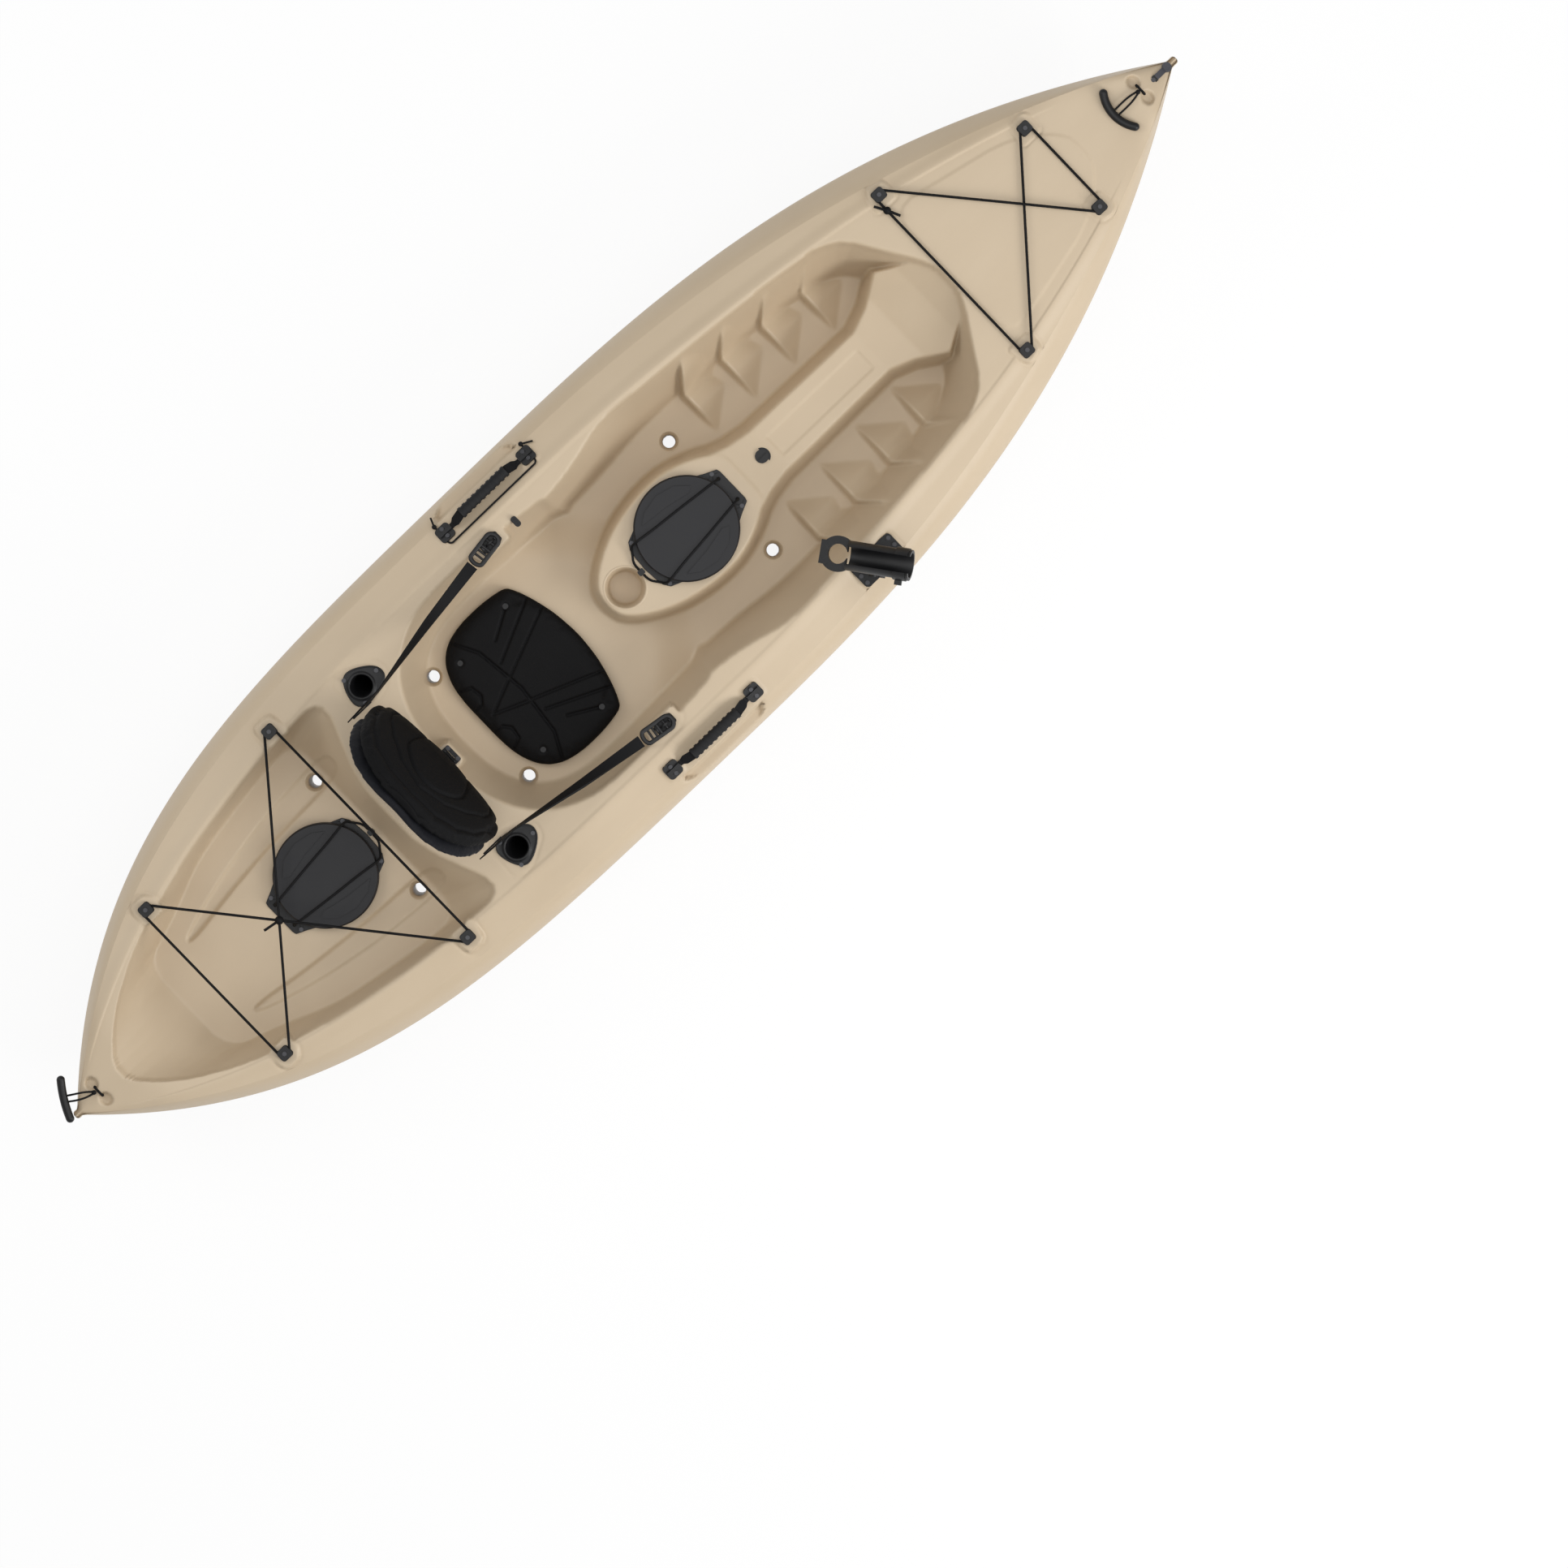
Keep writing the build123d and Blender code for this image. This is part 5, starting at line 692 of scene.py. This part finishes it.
def rounded_tip(points, end):
    """Rows that draw the end of the hull in to one point, as a quarter round ahead of the last row."""
    x = points[end, 0, 0]
    centre = np.array([x, 0, float(deck_z(x) + keel_z(x)) / 2])
    turns = np.radians([25, 50, 72, 90])[:, None, None]
    ahead = np.array([math.copysign(TIP_ROUND, x), 0, 0])
    tip = centre + (points[end] - centre)[None] * np.cos(turns) + ahead * np.sin(turns)
    return np.concatenate([points, tip]) if end == -1 else np.concatenate([tip[::-1], points])


TIP_ROUND = 6.0
deck_points = []
for number, (start, stop) in enumerate(zip(DECK_ENDS, DECK_ENDS[1:])):
    points = deck_grid(start, stop)
    deck_points.append(points.copy())
    if number != 1:
        points = rounded_tip(points, -1 if number else 0)
    keep = ring_snap(points, points[..., 2].copy(), HOLES, CELL)
    piece = grid_piece(("stern_deck", "middle_deck", "bow_deck")[number], points, hull_plastic, keep=keep)
    print(piece.name, len(piece.data.polygons) * 2, "triangles")


def deck_at(x, y):
    """Height of the finished deck at one place, read off its own grid."""
    number = int(np.searchsorted(DECK_ENDS[1:-1], x))
    points = deck_points[number]
    share = (x - points[0, 0, 0]) / (points[-1, 0, 0] - points[0, 0, 0]) * (len(points) - 1)
    row = int(np.clip(share, 0, len(points) - 2))
    across = points[row]
    return float(np.interp(y, across[:, 1], across[:, 2]) * (1 - share + row)
                 + np.interp(y, points[row + 1][:, 1], points[row + 1][:, 2]) * (share - row))


print("deck height at the centre plug", round(deck_at(385, 20), 1), "mm")

# %% [markdown]
# ## The bottom
# Below the rail the hull is a second grid. Each station is a line from rail to keel to rail through
# the points of the lines plan, sampled evenly and then brushed so the chines stay soft. Beside the
# carry handles a scoop is cut into the rail for the knuckles.


# %% The bottom
def station(x):
    """One section of the hull at x, from the starboard rail round the keel to the port rail."""
    beam, edge, side = float(beam_at(x)), float(deck_y(x)), float(sheer_y(x))
    start_z = float(deck_z(x)) - float(deck_z(x) - sheer_z(x)) * RAIL_SHARE
    keel = float(keel_z(x))
    skeg = keel + float(skeg_rise(x))
    half = [(float(rail_y(x)), start_z), (side, float(sheer_z(x))), (beam, float(beam_z(x))),
            (beam * float(chine_share(x)), float(chine_z(x))), (beam * float(bilge_share(x)), float(bilge_z(x))),
            (min(SKEG_HALF, beam * 0.4), skeg), (min(KEEL_HALF, beam * 0.2), keel)]
    line = np.array(half + [(-y, z) for y, z in half[::-1]])
    lengths = np.concatenate([[0], np.cumsum(np.hypot(*np.diff(line, axis=0).T))])
    even = np.linspace(0, lengths[-1], SECTION_POINTS)
    return np.stack([np.interp(even, lengths, line[:, 0]), np.interp(even, lengths, line[:, 1])], axis=1)


KEEL_HALF, SKEG_HALF, SECTION_POINTS, BOTTOM_STEP = 12.0, 46.0, 181, 7.0
stations = np.linspace(-HALF_LENGTH, HALF_LENGTH, int(2 * HALF_LENGTH / BOTTOM_STEP) + 1)
section = np.stack([station(x) for x in stations])
ends = section[:, [0, -1]].copy()
for _ in range(14):
    section[:, 1:-1] = section[:, :-2] * 0.25 + section[:, 1:-1] * 0.5 + section[:, 2:] * 0.25
section[:, [0, -1]] = ends
bottom = np.concatenate([np.repeat(stations[:, None, None], SECTION_POINTS, axis=1), section], axis=2)
scoop_wide = np.interp(bottom[..., 2], [248, 284], [0, 1])
in_scoop = (bottom[..., 0] > -150 - 45 * scoop_wide) & (bottom[..., 0] < 15 + 45 * scoop_wide) & (np.abs(bottom[..., 1]) > 354.5)
bottom[..., 2] = np.where(in_scoop, np.minimum(bottom[..., 2], 248), bottom[..., 2])
inside = np.minimum(np.minimum(bottom[..., 0] - 353, 461.3 - bottom[..., 0]), bottom[..., 1] + 339)
boss = step(inside, 8) * (bottom[..., 1] < -300) * (bottom[..., 2] > 240)
bottom[..., 2] += boss * (BOSS_Z - bottom[..., 2])
whole = rounded_tip(rounded_tip(bottom, -1), 0)
keep = ring_snap(whole, whole[..., 2].copy(), [(x, y, 13.0) for x, y, z in SCUPPERS], BOTTOM_STEP)
piece = grid_piece("hull_bottom", whole, hull_plastic, keep=keep)
print(piece.name, len(piece.data.polygons) * 2, "triangles")


def bottom_at(x, y):
    """Height of the outside of the bottom at one place."""
    row = int(np.argmin(np.abs(stations - x)))
    middle = bottom[row, SECTION_POINTS // 4:-(SECTION_POINTS // 4)]
    order = np.argsort(middle[:, 1])
    return float(np.interp(y, middle[order, 1], middle[order, 2]))


# %% [markdown]
# ## Line the holes
# A scupper is a funnel that joins the deck to the bottom, and the cup is a tapered socket. Each is a
# turned shape whose first ring follows the deck round the hole and whose last follows the bottom.


# %% Linings
def lining(name, x, y, rings, finish, columns=64):
    """A turned lining: each ring is (radius, which surface it follows, height above that surface)."""
    turns = np.linspace(0, math.tau, columns, endpoint=False)
    rows = []
    for radius, surface, rise in rings:
        xs, ys = x + radius * np.cos(turns), y + radius * np.sin(turns)
        heights = [surface(px, py) + rise for px, py in zip(xs, ys)]
        rows.append(np.stack([xs, ys, heights], axis=1))
    return grid_piece(name, np.array(rows), finish, around=True, flip=True)


for number, (x, y, floor) in enumerate(SCUPPERS):
    rings = [(23.0, deck_at, -0.4), (21.5, deck_at, 0.5), (20.0, deck_at, 0.3), (18.5, deck_at, -2.0)]
    rings += [(15.5, deck_at, -7.0), (13.4, deck_at, -13.0), (13.0, deck_at, -20.0)]
    rings += [(13.0, bottom_at, 8.0), (13.2, bottom_at, 2.0), (14.0, bottom_at, 0.2), (15.5, bottom_at, -0.5)]
    lining(f"scupper_{number}", x, y, rings, hull_plastic)
level = [(46.0, -0.4), (44.5, 0.9), (43.0, 1.1), (41.5, 0.2), (40.0, -3.0), (34.0, -56.0), (32.5, -59.0), (29.0, -60.5)]
level += [(20.0, -61.0), (0.001, -61.0)]
rings = [(radius, lambda px, py: PEDESTAL, rise) for radius, rise in level]
lining("drinks_cup", CUP[0], CUP[1], rings, hull_plastic, columns=96)
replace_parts(bpy.data.objects["middle_deck"], "hull", "deck")
print(len(SCUPPERS), "scuppers and a cup lined")

# %% [markdown]
# ## Flush rod holders
# Each holder is a rounded triangular flange with a raised rim, a lip round its mouth and a tube that
# leans forward as it goes down into the hull. Rings run from the tube's outside, out under the
# flange, over its face and down the bore, so the whole holder is one closed skin.

# %% Flush rod holders
FLANGE = [(-39, -19), (-32, 16), (-14, 42), (13, 38), (48, 14), (55, -9), (43, -26), (-7, -38), (-27, -34)]
FLUSH_RINGS = [(1, 0, -0.5), (1, 0, 3.0), (1, 1.0, 4.6), (1, 2.2, 5.0), (1, 3.4, 4.4), (1, 4.4, 3.9), (0.4, 6, 3.9),
               (0, 31, 3.9), (0, 28.6, 4.6), (0, 27.4, 6.6), (0, 25.4, 7.4), (0, 23.4, 6.8), (0, 21.8, 4.8)]


def flush_holder(name, side):
    """Rings of one holder. On the flange a ring's radius goes from the triangle's to a circle's by a
    share; in the tube each ring is a circle square to an axis that leans by 25 degrees."""
    turns = np.linspace(0, math.tau, 96, endpoint=False)
    outline = rounded_outline(FLANGE, 3, 16.0)
    angles, radii = np.arctan2(outline[:, 1], outline[:, 0]), np.hypot(*outline.T)
    triangle = np.interp(turns, *np.array(sorted(zip(angles, radii))).T, period=math.tau)
    lean, seat = math.radians(25), float(deck_z(-513.0))
    rows = []

    def tube(radius, depth):
        u, v = radius * np.cos(turns), radius * np.sin(turns)
        x = depth * math.sin(lean) + u * math.cos(lean)
        rows.append(np.stack([x, v, u * math.sin(lean) - depth * math.cos(lean)], axis=1))

    for radius, depth in ((0.001, 190), (22, 190), (24, 188), (24, 120), (24, 20)):
        tube(radius, depth)
    for share, reach, rise in FLUSH_RINGS:
        radius = share * (triangle - reach) + (1 - share) * (reach if share == 0 else 30)
        rows.append(np.stack([radius * np.cos(turns), radius * np.sin(turns), np.full(96, rise)], axis=1))
    for radius, depth in ((21, 13), (21, 90), (21, 186), (19, 187), (0.001, 187)):
        tube(radius, depth)
    points = np.array(rows) + (-513, 224, seat)
    points[..., 1] *= side
    piece = grid_piece(name, points, black_nylon, around=True, flip=side > 0)
    crisp = piece.modifiers.new("finer", "SUBSURF")
    crisp.levels = crisp.render_levels = 1
    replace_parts(piece, name.replace("mouth", "flush_rod_holder"))


flush_holder("port_mouth", 1)
flush_holder("starboard_mouth", -1)
print("flush rod holders built")

# %% [markdown]
# ## Strap buckles
# Each seat strap ends in a chunky moulded buckle: an oval frame with ladder bars, and a pin through
# the eye on the deck. Frame and bars are rounded tubes swept along their own lines.

# %% Buckles
EYE, STRAP_LOW = (-128.0, 252.0), (-330.0, 222.0, 327.0)


def tube_along(name, path, width, height, place, finish, closed=False):
    """A rounded bar: at each point of a flat path a section, a circle stretched to width by height,
    is set square to the path. place turns the flat frame into the boat's."""
    path = np.array(path, float)
    if closed:
        path = np.vstack([path, path[:1]])
        ahead = np.roll(path[:-1], -1, axis=0) - np.roll(path[:-1], 1, axis=0)
        ahead = np.vstack([ahead, ahead[:1]])
    else:
        ahead = np.gradient(path, axis=0)
    ahead /= np.hypot(*ahead.T)[:, None]
    turns = np.linspace(0, math.tau, 20, endpoint=False)
    square = np.abs(np.cos(turns)) ** 0.7 * np.sign(np.cos(turns)) * width / 2
    rise = np.abs(np.sin(turns)) ** 0.7 * np.sign(np.sin(turns)) * height / 2
    flat = path[:, None, :] + square[None, :, None] * np.stack([-ahead[:, 1], ahead[:, 0]], axis=1)[:, None, :]
    points = place(flat[..., 0], flat[..., 1], np.broadcast_to(rise, flat.shape[:2]))
    return grid_piece(name, points, finish, around=True, ends=not closed, flip=True)


def buckle(side_name, side):
    """The frame runs from 20 mm before the eye to 58 mm behind it, along the strap's pull."""
    hole = np.array([EYE[0], side * EYE[1], float(deck_z(EYE[0])) + 13.0])
    back = np.array([STRAP_LOW[0], side * STRAP_LOW[1], STRAP_LOW[2]]) - hole
    back /= np.linalg.norm(back)
    across = np.cross((0, 0, 1), back)
    across /= np.linalg.norm(across)
    above = np.cross(back, across)

    def place(u, v, w):
        return hole + u[..., None] * back + v[..., None] * across + w[..., None] * above

    arc = np.linspace(-math.pi / 2, math.pi / 2, 13)
    front = [(-6 - 12 * math.cos(a), -14 * math.sin(a)) for a in arc]
    rear = [(44 + 8 * math.cos(a), 14 * math.sin(a)) for a in arc]
    frame = tube_along(f"{side_name}_buckle", rear + front, 9, 8, place, black_nylon, closed=True)
    for number, (u, width) in enumerate(((15.0, 6.0), (26.0, 5.0), (36.0, 5.0))):
        line = [(u, v) for v in (-15, -5, 5, 15)]
        tube_along(f"{side_name}_buckle_bar_{number}", line, width, 6, place, black_nylon)
    line = [(0, v) for v in (-13, -5, 5, 13)]
    tube_along(f"{side_name}_buckle_pin", line, 5, 5, place, black_nylon)
    return frame


buckle("starboard", -1)
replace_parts(buckle("port", 1), "snap_hooks")
print("buckles built")

# %% [markdown]
# ## Swell the padded pieces
# The backrest is a cushion under a sewn cover, and the seat is a moulded foam pad. Each starts as a
# slightly slack closed form. Cloth under a little air pressure swells it, a cap keeps it inside its
# seams, and the moulded channels are pressed in afterwards.


# %% Cushions
def swollen(name, points, finish, body, cap, voxel):
    """A closed grid remeshed into even cells, inflated as cloth for 20 steps, each point held to a
    cap on how far it moves, then subdivided once."""
    start = grid_piece(name, points, finish, body, around=True, ends=True)
    remesh = start.modifiers.new("even", "REMESH")
    remesh.mode, remesh.voxel_size = "VOXEL", voxel
    settled(start)
    cloth = start.modifiers.new("swell", "CLOTH")
    cloth.settings.use_pressure = True
    cloth.settings.uniform_pressure_force = 4.0
    cloth.settings.effector_weights.gravity = 0.0
    rest = corners_of(start.data)
    for number in range(1, 21):
        bpy.context.scene.frame_set(number)
    moved = corners_of(start.evaluated_get(bpy.context.evaluated_depsgraph_get()).data) - rest
    start.modifiers.remove(cloth)
    bpy.context.scene.frame_set(1)
    reach = np.linalg.norm(moved, axis=1, keepdims=True)
    moved *= np.minimum(1, cap * MM / np.maximum(reach, 1e-9))
    start.data.vertices.foreach_set("co", (rest + moved).ravel())
    finer = start.modifiers.new("finer", "SUBSURF")
    finer.levels = finer.render_levels = 1
    settled(start)
    return start


def settled(piece):
    """The piece's mesh with its modifiers worked in."""
    shape = bpy.data.meshes.new_from_object(piece.evaluated_get(bpy.context.evaluated_depsgraph_get()))
    piece.modifiers.clear()
    piece.data = shape
    shape.shade_smooth()


def corners_of(mesh):
    """Points of a mesh as an array of (x, y, z)."""
    flat = np.empty(len(mesh.vertices) * 3)
    mesh.vertices.foreach_get("co", flat)
    return flat.reshape(-1, 3)


def reshaped(piece, rule):
    """Points moved by a rule that takes them, and their normals, in millimetres."""
    normals = np.empty(len(piece.data.vertices) * 3)
    piece.data.vertices.foreach_get("normal", normals)
    points = rule(corners_of(piece.data) / MM, normals.reshape(-1, 3))
    piece.data.vertices.foreach_set("co", (points * MM).ravel())
    piece.data.update()


def distance_to_line(line, u, v):
    """Distance from points to an open line of straight runs."""
    nearest = np.full(u.shape, 1e9)
    for (u0, v0), (u1, v1) in zip(line, line[1:]):
        du, dv = u1 - u0, v1 - v0
        along = np.clip(((u - u0) * du + (v - v0) * dv) / max(du * du + dv * dv, 1e-9), 0, 1)
        nearest = np.minimum(nearest, np.hypot(u - u0 - along * du, v - v0 - along * dv))
    return nearest


def channel(distance, width):
    """A pressed channel: 1 along its middle, a flat floor, then rounded shoulders down to 0."""
    return 1 - step(distance - width / 2, width * 0.8)


print("cushion tools ready")

# %% [markdown]
# ## The seat pad
# The outline is drawn in plan. Channels follow the photograph: two pairs of bars in a V, a short bar
# ahead of each rivet, an arc across and two rounded corners at the back.

# %% The seat pad
PAD_HALF = [(-402, 0), (-401, 60), (-393, 108), (-374, 147), (-340, 175), (-290, 186), (-230, 186), (-178, 178),
            (-166, 168), (-146, 128), (-130, 66), (-124, 0)]
outline = rounded_outline(both_sides(PAD_HALF), 2, 12.0)
middle = outline.mean(axis=0)
levels = [(0.90, 125.4), (0.965, 125.6), (0.985, 130), (0.99, 138), (0.985, 146), (0.96, 149.5), (0.80, 151), (0.4, 151.5)]
pad_points = np.array([[(*(middle + (p - middle) * share), z) for p in outline] for share, z in levels])
seat_pad = swollen("padded_seat", pad_points, seat_foam, "hull", 5.0, 0.005)
PAD_LINES = [
    [(-370, 0), (-140, 92)], [(-370, 0), (-352, 7), (-300, 30)], [(-285, 65), (-150, 127)], [(-262, 105), (-204, 138)],
    [(-335, 172), (-303, 110), (-290, 0)], [(-402, 30), (-372, 30), (-360, 45), (-364, 70), (-400, 84)],
]


def pressed(points, normals):
    """Channels 4.5 millimetres deep in the top face, dimples at the rivets, and a flat underside."""
    x, y, z = points.T
    marks = np.min([distance_to_line(line, x, np.abs(y)) for line in PAD_LINES], axis=0)
    rivets = np.min([np.hypot(x - rx, np.abs(y) - ry) for rx, ry in ((-345, 121), (-199, 141))], axis=0)
    top = step(normals[:, 2] - 0.6, 0.4)
    z = z - top * (4.5 * channel(marks, 4.5) + 3.6 * channel(rivets, 13.0))
    return np.stack([x, y, np.clip(z, 125.3, 156.5)], axis=1)


reshaped(seat_pad, pressed)
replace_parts(seat_pad, "seat_pad")
print(seat_pad.name, len(seat_pad.data.polygons), "faces")

# %% [markdown]
# ## The backrest
# Seen from the front it is a rounded half moon. A table gives its half width, how far its face lies
# behind the pivot and its thickness at each height. The face carries the contours of the cover: a
# shield in the middle, a band round it and a double piping along the edge.

# %% The backrest
BACK_X, BACK_Z = -484.0, float(deck_z(-484.0)) + 6.0
BACK = np.array([(4, 96, 13, 34), (9, 122, 14, 42), (28, 150, 9, 56), (78, 173, 6, 64), (130, 183, 13, 66), (180, 181, 33, 64),
                 (230, 163, 61, 58), (268, 126, 88, 50), (288, 80, 103, 40), (297, 40, 110, 30)], float)
PAD_SHARE = 0.58


def back_loft(first, last, swell):
    """Rows of level sections between two shares of the thickness, rounded like a lens at the sides."""
    rises = np.concatenate([[4, 6], np.linspace(9, 288, 34), [293, 297]])
    half, front, thick = [np.interp(rises, BACK[:, 0], BACK[:, k]) for k in (1, 2, 3)]
    for values in (half, front, thick):
        for _ in range(4):
            values[2:-2] = values[1:-3] * 0.25 + values[2:-2] * 0.5 + values[3:-1] * 0.25
    turns = np.linspace(0, math.tau, 96, endpoint=False)
    rows = []
    for rise, breadth, face, depth in zip(rises, half, front, thick):
        across = breadth * np.sign(np.cos(turns)) * np.abs(np.cos(turns)) ** 0.55
        share = (first + last) / 2 - (last - first) / 2 * np.sign(np.sin(turns)) * np.abs(np.sin(turns)) ** swell
        x = BACK_X - face - depth * share - 12.0 * (across / max(breadth, 1)) ** 2 * (1 if first == 0 else 0.4)
        rows.append(np.stack([x, across, np.full(96, BACK_Z + rise)], axis=1))
    return np.array(rows)


def mirrored(half):
    """A line drawn from its port half: (across, rise) pairs from the middle outwards."""
    return [(-y, r) for y, r in half[::-1] if y > 0] + list(half)


SHIELD = [(0, 22), (40, 24), (52, 40), (66, 110), (76, 165), (74, 186), (52, 212), (28, 228), (0, 233)]
BAND = [(98, 22), (112, 44), (132, 90), (138, 128), (132, 160), (104, 200), (62, 234), (0, 252)]
PIPING = [(162, 36), (170, 80), (174, 130), (170, 176), (152, 224), (118, 258), (66, 280), (0, 287)]
shield = rounded_outline(mirrored(SHIELD), 2, 10.0)
band, piping = mirrored(BAND[::-1]), mirrored(PIPING[::-1])


def contoured(points, normals):
    """The face is pressed in along the shield and the band, and stands proud between them."""
    x, y, z = points.T
    rise = z - BACK_Z
    face = step(normals[:, 0] - 0.35, 0.4)
    inside = distance_to(shield, y, rise)
    move = -5.5 * channel(np.abs(inside), 7.0) - 4.5 * channel(distance_to_line(band, y, rise), 6.0)
    edge = distance_to_line(piping, y, rise)
    move += 2.2 * np.exp(-(edge / 5.0) ** 2) - 3.8 * np.exp(-((edge - 10.5) / 3.6) ** 2)
    move += 2.5 * step(-inside - 14, 40)
    return points + (face * move)[:, None] * normals


backrest = swollen("backrest_cushion", back_loft(0.02, PAD_SHARE, 0.75), cover_cloth, "backrest", 7.0, 0.005)
reshaped(backrest, contoured)
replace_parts(backrest, "backrest_pad")
back_shell = swollen("backrest_back", back_loft(PAD_SHARE + 0.03, 0.98, 0.6), shell_cloth, "backrest", 5.0, 0.006)
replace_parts(back_shell, "backrest_shell")
print(backrest.name, len(backrest.data.polygons), "faces")

# %% [markdown]
# ## Floor, light and camera
# The kayak lies on plain white. The floor's own colour carries the white, and what the camera sees
# directly is part glow, so the ground stays white while the soft shadow remains.

# %% Floor
floor_finish = Finish("white_floor", Roughness=0.9, Specular_IOR_Level=0.1)
floor_finish.shader.inputs["Base Color"].default_value = shade(246, 246, 246)
ways = [floor_finish.node("ShaderNodeLightPath", output=name) for name in ("Is Camera Ray", "Is Glossy Ray", "Is Transmission Ray")]
seen = floor_finish.node("ShaderNodeMath", {"operation": "MAXIMUM"}, {0: ways[0], 1: ways[1]})
seen = floor_finish.node("ShaderNodeMath", {"operation": "MAXIMUM"}, {0: seen, 1: ways[2]})
glow = floor_finish.node("ShaderNodeEmission", None, {"Color": (1.0, 1.0, 1.0, 1.0), "Strength": 1.0}, 0)
mixed = floor_finish.node("ShaderNodeMixShader", None, {0: seen * 0.9, 1: Signal(floor_finish, floor_finish.shader.outputs[0]), 2: glow}, 0)
output = floor_finish.tree.nodes["Material Output"]
floor_finish.tree.links.new(mixed.socket, output.inputs["Surface"])
floor_mesh = bpy.data.meshes.new("floor")
corners = [(-40, -40, -0.001), (40, -40, -0.001), (40, 40, -0.001), (-40, 40, -0.001)]
floor_mesh.from_pydata(corners, [], [(0, 1, 2, 3)])
floor_mesh.materials.append(floor_finish.material)
floor = bpy.data.objects.new("floor", floor_mesh)
bpy.context.scene.collection.objects.link(floor)

# %% Lights
for name, place, size, watts in (("overhead", (0.4, -0.4, 5.0), 5.0, 105.0), ("starboard", (1.6, -4.2, 2.9), 2.4, 138.0), ("port", (-1.8, 3.6, 3.6), 2.4, 48.0)):
    lamp = bpy.data.lights.new(name, "AREA")
    lamp.size, lamp.energy = size, watts
    light = bpy.data.objects.new(name, lamp)
    light.location = place
    light.rotation_euler = (Vector((0, 0, 0.1)) - Vector(place)).to_track_quat("-Z", "Y").to_euler()
    bpy.context.scene.collection.objects.link(light)
world = bpy.data.worlds.new("studio")
bpy.context.scene.world = world
world.use_nodes = True
world.node_tree.nodes["Background"].inputs["Color"].default_value = (1.0, 1.0, 1.0, 1.0)
world.node_tree.nodes["Background"].inputs["Strength"].default_value = 0.4

# %% Camera
camera_data = bpy.data.cameras.new("camera")
camera = bpy.data.objects.new("camera", camera_data)
bpy.context.scene.collection.objects.link(camera)
bpy.context.scene.camera = camera
place, target = Vector((0.15, 0.0, 12.2)), Vector((-0.040, -0.506, 0.25))
ahead = (target - place).normalized()
right = Vector((0.7209, -0.6931, 0.0))
right = (right - ahead * right.dot(ahead)).normalized()
up = right.cross(ahead)
turn = Matrix((right, up, -ahead)).transposed()
camera.matrix_world = Matrix.Translation(place) @ turn.to_4x4()
camera_data.sensor_width, camera_data.lens = 36.0, 136.4
camera_data.clip_end = 100.0
bpy.context.scene.view_settings.view_transform = "Standard"
